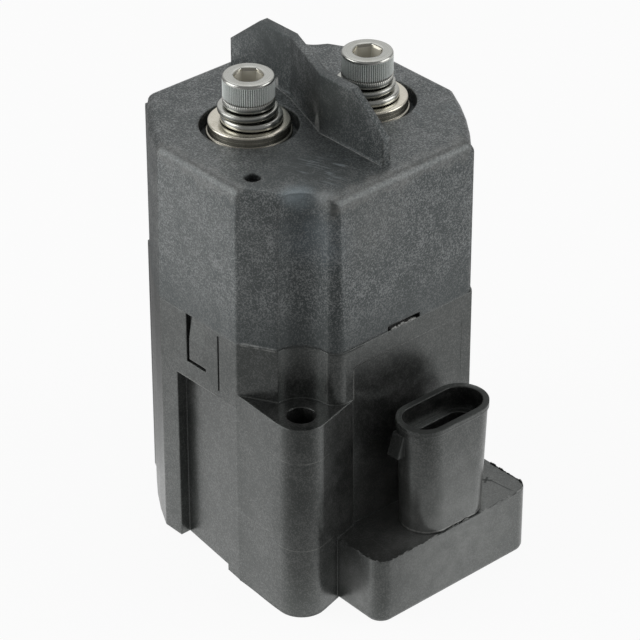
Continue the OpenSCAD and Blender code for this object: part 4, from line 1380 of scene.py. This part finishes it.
@dataclass
class ContactDrive:
    """Inner pieces: coil, cores, springs, bridge, chamber and magnets."""

    maker: PieceMaker
    axis: Tuple[float, float] = (1.3, 1.2)
    turn: float = -18.2
    stroke: float = 2.0
    give: float = 0.5
    return_z: Tuple[float, float] = (18.8, 32.9)
    contact_z: Tuple[float, float] = (51.9, 57.9)
    solids: Tuple[str, ...] = (
        "arc_chamber", "sealing_flange", "bridge_clip", "shaft", "moving_core", "fixed_core",
        "core_sleeve", "bobbin", "coil_winding", "yoke_frame", "top_plate", "blowout_magnets", "magnet_plates")

    def build(self) -> None:
        """Dress the solids and wind both springs."""
        for name in self.solids:
            self.maker.wardrobe.dress_node(name)
        self.maker.wardrobe.dress_node("contact_bridge", "bare_copper")
        self.spring("return_coil", "return_spring", 3.4, 0.8, 7.0, self.return_z, Body.HOUSING)
        self.spring("contact_coil", "contact_spring", 3.23, 0.9, 4.0, self.contact_z, Body.ARMATURE)

    def spring(self, name: str, node: str, mean_r: float, wire: float, turns: float,
               ends: Tuple[float, float], body: Body) -> None:
        """Wind a round wire spring on its body.

        Args:
            name: Piece's name.
            node: CAD node that it stands for.
            mean_r: Radius of the wire's middle.
            wire: Wire diameter.
            turns: Number of turns.
            ends: Lowest and highest point.
            body: Body that it rides on.
        """
        close, end_pitch, steps, sides = 0.8, 1.08, 28, 10
        low, high = ends[0] + wire / 2, ends[1] - wire / 2
        end_rise = close * end_pitch * wire
        path = []
        for i in range(int(turns * steps) + 1):
            t = i / steps
            if t < close:
                z = low + t / close * end_rise
            elif t > turns - close:
                z = high - (turns - t) / close * end_rise
            else:
                z = low + end_rise + (high - low - 2 * end_rise) * (t - close) / (turns - 2 * close)
            angle = 2 * math.pi * t
            out = Vector((math.cos(angle), math.sin(angle), 0))
            path.append((out * mean_r + Vector((0, 0, z)), out, Vector((0, 0, 1))))
        angles = [2 * math.pi * j / sides for j in range(sides)]
        section = [(wire / 2 * math.cos(angle), wire / 2 * math.sin(angle)) for angle in angles]
        made = self.maker.piece(name, *self.maker.sweep(path, section), "spring_steel", body,
                                at=(*self.axis, 0.0), turn=self.turn)
        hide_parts(node)
        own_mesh(made)


@dataclass
class ControlBoard:
    """Board, its components and the coil's leads."""

    maker: PieceMaker

    def build(self) -> None:
        """Dress the board's pieces."""
        for name in ("circuit_board", "board_parts", "coil_leads"):
            self.maker.wardrobe.dress_node(name)


@dataclass
class Studio:
    """Floor, lights and camera of the photograph."""

    aim: Point = (31.051, 31.208, 14.837)
    back: Point = (-0.5648, -0.6323, 0.5303)
    distance: float = 698.746
    lens: float = 184.93
    fill: float = 0.3
    sheen: float = 0.2
    back_sheen: float = 0.64
    back_side: Point = (0.56, 0.63, 0.53)
    back_band: Band = (0.55, 0.97)
    floor_sheen: float = 0.7
    near_gain: float = 0.26
    near_band: Band = (0.045, 0.1)
    far_gain: float = 0.05
    far_band: Band = (0.105, 0.135)
    left: Point = (-0.78, 0.62, 0.0)
    left_gain: float = 0.32
    left_band: Band = (0.86, 0.96)
    front: Point = (-0.666, -0.746, 0.0)
    front_dim: float = 0.47
    front_band: Band = (0.4, 1.0)
    front_start: Band = (0.04, 0.056)
    behind: Point = (0.2, 0.98, 0.0)
    behind_dim: float = 0.48
    behind_band: Band = (0.6, 0.95)
    glow_share: float = 0.93
    paper: Colour = (0.85, 0.85, 0.85)
    floor_half: float = 3.0
    lamps: Tuple[Tuple[str, Point, float, float], ...] = (
        ("left", (-0.75, 0.5, 0.5), 0.8, 4.0),
        ("right", (0.68, -0.72, 0.5), 0.8, 3.6),
        ("above", (0.3, 0.35, 0.95), 0.8, 0.8),
    )
    target: Point = (0.0, 0.0, 0.05)

    def build(self) -> None:
        """Set up the scene around the part."""
        self.camera()
        self.floor()
        self.world()
        for lamp in self.lamps:
            self.lamp(*lamp)

    def camera(self) -> None:
        """Camera at the photograph's place."""
        data = bpy.data.cameras.new("camera")
        data.sensor_width = 36.0
        data.lens = self.lens
        data.clip_start = 0.01
        data.clip_end = 20.0
        made = add_object("camera", data)
        back = Vector(self.back).normalized()
        right = Vector((0, 0, 1)).cross(back).normalized()
        turn = Matrix((right, back.cross(right), back)).transposed().to_4x4()
        made.matrix_world = Matrix.Translation((Vector(self.aim) + back * self.distance) * MM) @ turn
        bpy.context.scene.camera = made

    def floor(self) -> None:
        """Plain pale floor that keeps a faint shadow."""
        mesh = bpy.data.meshes.new("floor")
        half = self.floor_half
        corners = [(-half, -half, 0), (half, -half, 0), (half, half, 0), (-half, half, 0)]
        mesh.from_pydata(corners, [], [(0, 1, 2, 3)])
        made = add_object("floor", mesh)
        material = bpy.data.materials.new("floor")
        graph = empty_graph(material)
        paper = graph.node("BsdfDiffuse")
        paper.inputs["Color"].default_value = rgba(self.paper)
        glow = graph.node("Emission")
        seen = graph.node("LightPath")
        place = graph.node("TexCoord").outputs["Object"]
        off, way = graph.vector("LENGTH", place), graph.vector("NORMALIZE", place)
        near = graph.fade(off, *self.near_band)
        far = graph.step(off, *self.far_band)
        left = graph.times(graph.facing(way, self.left, self.left_band), far)
        ahead = graph.facing(way, self.front, self.front_band)
        ahead = graph.times(ahead, graph.step(off, *self.front_start))
        mirrored = graph.plus(self.floor_sheen, graph.times(near, self.near_gain))
        mirrored = graph.plus(mirrored, graph.times(far, self.far_gain))
        mirrored = graph.plus(mirrored, graph.times(left, self.left_gain))
        mirrored = graph.minus(mirrored, graph.times(ahead, self.front_dim))
        behind = graph.facing(way, self.behind, self.behind_band)
        mirrored = graph.minus(mirrored, graph.times(behind, self.behind_dim))
        graph.feed(glow.inputs["Strength"], graph.larger(seen.outputs["Is Camera Ray"], mirrored))
        looked_at = graph.larger(seen.outputs["Is Camera Ray"], seen.outputs["Is Glossy Ray"])
        share = graph.times(looked_at, self.glow_share)
        both = graph.node("MixShader")
        graph.feed(both.inputs[0], share)
        graph.feed(both.inputs[1], paper.outputs[0])
        graph.feed(both.inputs[2], glow.outputs[0])
        end = graph.node("OutputMaterial")
        graph.feed(end.inputs["Surface"], both.outputs[0])
        mesh.materials.append(material)

    def world(self) -> None:
        """White surroundings: bright to the eye and in reflections, dim as a light."""
        world = bpy.data.worlds.new("white tent")
        bpy.context.scene.world = world
        graph = empty_graph(world)
        seen = graph.node("LightPath")
        side = graph.facing(graph.node("TexCoord").outputs["Generated"], self.back_side, self.back_band)
        sheen = graph.plus(self.sheen, graph.times(side, self.back_sheen - self.sheen))
        mirrored = graph.times(seen.outputs["Is Glossy Ray"], sheen)
        soft = graph.times(seen.outputs["Is Diffuse Ray"], self.fill)
        bright = graph.larger(graph.plus(mirrored, soft), seen.outputs["Is Camera Ray"])
        light = graph.node("Background")
        graph.feed(light.inputs["Strength"], bright)
        light.inputs["Color"].default_value = (1.0, 1.0, 1.0, 1.0)
        end = graph.node("OutputWorld")
        graph.feed(end.inputs["Surface"], light.outputs[0])

    def lamp(self, name: str, place: Point, size: float, power: float) -> None:
        """Soft square lamp that faces the part.

        Args:
            name: Lamp's name.
            place: Its place in metres.
            size: Edge length in metres.
            power: Power in watts.
        """
        data = bpy.data.lights.new(name, "AREA")
        data.size = size
        data.energy = power
        made = add_object(name, data)
        made.location = place
        made.rotation_euler = (Vector(self.target) - Vector(place)).to_track_quat("-Z", "Y").to_euler()


COVER_LINES: Tuple[MouldAndLightLine, ...] = (
    MouldAndLightLine((2.8, 10.2, 88.0), (0.98, -0.18, 0.0), 3.4, CHALK, 0.26, 0.8, 0.5),
    MouldAndLightLine((-0.2, 0.55, 88.0), (0.944, -0.33, 0.0), 7.7, CHALK, 0.26, 0.6, 0.6),
    MouldAndLightLine((-2.7, -15.0, 88.0), EAST, 9.0, CHALK, 0.26, 0.8, 0.5),
    # Painted shadow in the top corner of the corner recess.
    MouldAndLightLine((-17.75, -27.2, 85.9), (0.66, -0.75, 0.0), 1.5, DARK, 1.2, 0.95, 0.1),
    # Painted highlights along the top's −X and −Y fillets, here and in the next line.
    MouldAndLightLine((-28.4, -1.0, 87.4), (0.7, 0.0, 0.7), 13.0, (0.125, 0.12, 0.112), 4.0, 0.7, 0.5),
    MouldAndLightLine((-1.0, -27.6, 87.4), (0.0, 0.7, 0.7), 19.0, (0.14, 0.134, 0.125), 4.4, 0.75, 0.5),
    MouldAndLightLine((-26.8, -16.2, 55.2), UP, 4.0, CHALK, 0.45, 0.35, 0.8),
    # Painted highlights along the corner recess's vertical edges, here and in the next line.
    MouldAndLightLine((-24.6, -19.66, 64.0), EAST, 10.0, PALE, 0.2, 0.35, 0.8),
    MouldAndLightLine((-18.38, -26.1, 71.0), (-0.25, 0.97, 0.0), 16.0, PALE, 0.2, 0.3, 0.8),
)
BASE_LINES: Tuple[MouldAndLightLine, ...] = (
    MouldAndLightLine((-29.0, -8.0, 54.75), UP, 5.2, PALE, 0.2, 0.35, 0.7),
    MouldAndLightLine((-29.0, 7.0, 54.75), UP, 4.0, PALE, 0.2, 0.3, 0.7),
    MouldAndLightLine((-26.8, -16.2, 54.75), UP, 4.0, CHALK, 0.35, 0.3, 0.9),
    MouldAndLightLine((-21.0, -22.3, 54.8), UP, 3.6, DARK, 0.3, 0.8, 0.2),
    MouldAndLightLine((-14.8, -28.2, 54.6), UP, 4.2, DARK, 0.4, 0.9, 0.3),
    MouldAndLightLine((-26.5, -27.0, 35.7), UP, 6.6, PALE, 0.22, 0.5, 0.75),
    MouldAndLightLine((-25.5, -28.5, 15.6), UP, 6.4, PALE, 0.22, 0.5, 0.4),
    MouldAndLightLine((-29.1, -14.8, 16.6), (0.0, 0.091, 0.996), 8.2, PALE, 0.16, 0.4, 0.6),
    MouldAndLightLine((-29.0, -0.5, 40.3), UP, 6.4, PALE, 0.25, 0.6, 0.4),
    MouldAndLightLine((-3.0, -28.0, 50.5), UP, 10.6, PALE, 0.22, 0.6, 0.4),
    MouldAndLightLine((-13.1, -28.0, 46.2), EAST, 3.8, PALE, 0.4, 0.8, 0.2),
    # Painted shadow along the right edge of the −Y panel.
    MouldAndLightLine((14.5, -28.2, 43.8), EAST, 6.4, DARK, 0.3, 0.9, 0.9),
    # Painted highlight along the pilaster's vertical edge.
    MouldAndLightLine((-18.35, -26.1, 49.5), (-0.25, 0.97, 0.0), 6.0, PALE, 0.22, 0.4, 0.6),
    MouldAndLightLine((-20.5, -30.0, 8.4), (0.97, 0.25, 0.0), 6.6, PALE, 0.2, 0.25, 0.6),
    MouldAndLightLine((-14.1, -37.0, 14.3), (0.995, -0.1, 0.0), 3.6, PALE, 0.2, 0.3, 0.6),
    MouldAndLightLine((17.3, -37.8, 14.3), (0.99, 0.12, 0.0), 3.2, DARK, 0.35, 0.8, 0.3),
    MouldAndLightLine((16.4, -34.4, 14.3), (0.8, 0.6, 0.0), 1.4, DARK, 0.7, 0.9, 0.2),
    MouldAndLightLine((16.4, -34.4, 14.3), (0.5, -0.86, 0.0), 1.2, DARK, 0.5, 0.9, 0.2),
    MouldAndLightLine((1.3, -60.0, 14.74), UP, 33.0, CHALK, 0.4, 0.6, 0.5),
    MouldAndLightLine((-0.8, -28.0, 55.3), UP, 3.6, CHALK, 1.0, 0.6, 0.5),
    MouldAndLightLine((2.0, -41.3, 14.45), UP, 6.6, DARK, 0.5, 0.9, 0.2),
    # Painted shade on the shroud's rim: its side and its top face darkened, here and in the next line.
    MouldAndLightLine((2.25, -42.5, 37.7), UP, 12.5, DARK, 0.25, 0.5, 0.3),
    MouldAndLightLine((2.25, -42.0, 38.6), UP, 13.0, DARK, 0.6, 0.9, 0.0),
)
FINISHES: Tuple[Finish, ...] = (
    Moulding("cover_plastic", (0.004, 0.005, 0.0055), (0.15, 0.154, 0.154), roughness=0.44, patch=0.04,
             fleck=0.95, patch_size=5.0, fleck_size=0.28, relief_mm=0.03, edge_mm=0.8, edge=0.5, skin=0.9,
             calm_z=(56.0, 67.0), lines=COVER_LINES,
             rubs=(Rub((-11.5, -17.5, 87.9), 8.0, 1.22, 1.2), Rub((19.5, -15.0, 87.9), 7.0, 1.57, 1.2)),
             # Painted light: the −X face brightened.
             painted_light_patches=(PaintedLightPatch((-30.0, 0.0, 74.0), 30.0, (0.12, 0.12, 0.116), 0.45),
                     # Painted shade with smudging: the front of the top darkened.
                     PaintedLightPatch((-13.0, -15.0, 88.0), 16.0, DARK, 1.0),
                     # Painted shade: the terminal barrier darkened, here and in the next patch.
                     PaintedLightPatch((-1.0, -8.0, 95.0), 14.0, DARK, 1.0),
                     PaintedLightPatch((4.5, 15.0, 99.0), 15.0, DARK, 1.0),
                     # Painted light: the upper −Y face brightened.
                     PaintedLightPatch((-9.0, -28.2, 80.0), 13.0, (0.14, 0.135, 0.125), 0.35),
                     # Painted highlights: pale bluish spots at the top corners of the corner recess, here and
                     # in the next patch.
                     PaintedLightPatch((-20.8, -20.8, 87.6), 4.6, (0.22, 0.27, 0.3), 0.75),
                     PaintedLightPatch((-17.6, -24.6, 87.6), 3.0, (0.26, 0.27, 0.27), 0.7),
                     # Painted reflection: a bluish cast inside the corner recess.
                     PaintedLightPatch((-19.5, -24.0, 79.0), 9.0, (0.075, 0.1, 0.125), 0.5))),
    Moulding("base_plastic", (0.006, 0.0065, 0.0063), (0.1, 0.1, 0.097), roughness=0.3, patch=0.1,
             fleck=0.45, patch_size=9.0, fleck_size=0.28, edge=0.12, edge_mm=0.4, relief_mm=0.012,
             tint=(0.945, 1.0, 0.965), lines=BASE_LINES,
             # Painted light: the tray top and the front of the shroud brightened.
             painted_light_patches=(PaintedLightPatch((2.0, -38.5, 12.0), 27.0, (0.15, 0.152, 0.147), 0.85),
                     # Painted shade: the latch wedge at the shroud's left end darkened.
                     PaintedLightPatch((-9.4, -36.5, 32.5), 4.5, DARK, 1.0),
                     # Painted light: the tray's left corner brightened.
                     PaintedLightPatch((-18.7, -34.0, 6.0), 7.5, (0.16, 0.16, 0.157), 0.8))),
    # The terminal's dark band is painted shade with some tarnish on the stud's side.
    Plating("terminal_plating", (0.84, 0.8, 0.69), roughness=0.25, edge_mm=0.12, gap_mm=0.5,
            tarnish_and_shade_band=(-3.0, -0.32)),
    # The fastener's satin band carries painted light on the knurl.
    Plating("fastener_plating", (0.62, 0.625, 0.59), roughness=0.25, edge_mm=0.06, gap_mm=0.4,
            satin_band=(1.75, 5.35), well_r=2.92),
    Mineral("ceramic", (0.85, 0.83, 0.78)),
    WireLayers("copper", (0.62, 0.27, 0.12)),
    Plating("bare_copper", (0.66, 0.31, 0.17), roughness=0.32, stain_colour=(0.3, 0.12, 0.06)),
    Plating("steel", (0.5, 0.5, 0.5), roughness=0.34),
    Plating("spring_steel", (0.38, 0.38, 0.39), roughness=0.3),
    Plating("zinc_steel", (0.56, 0.57, 0.58), roughness=0.38),
    Moulding("bobbin_plastic", (0.62, 0.57, 0.46), (0.7, 0.66, 0.56), patch=0.3, fleck=0.2, edge=0.0),
    Mineral("magnet", (0.09, 0.09, 0.1), roughness=0.4),
    Laminate("board_laminate", (0.02, 0.11, 0.045)),
    Moulding("board_parts_plastic", (0.02, 0.02, 0.022), (0.05, 0.05, 0.05), patch=0.2, fleck=0.2),
    Moulding("lead_sleeve", (0.35, 0.03, 0.02), (0.42, 0.05, 0.04), patch=0.3, fleck=0.1, edge=0.0),
)


def main() -> None:
    """Dress the contactor and set up the studio."""
    logging.basicConfig(level=logging.INFO, format="%(name)s: %(message)s")
    scene = bpy.context.scene
    scene.view_settings.view_transform = "Standard"
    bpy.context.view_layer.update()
    maker = PieceMaker(Wardrobe(FINISHES))
    Studio().build()
    Housing(maker).build()
    MouldFlash(maker).build()
    for side in Side:
        TerminalStack(maker, side).build()
    ControlSocket(maker).build()
    ContactDrive(maker).build()
    ControlBoard(maker).build()


if __name__ == "__main__":
    main()
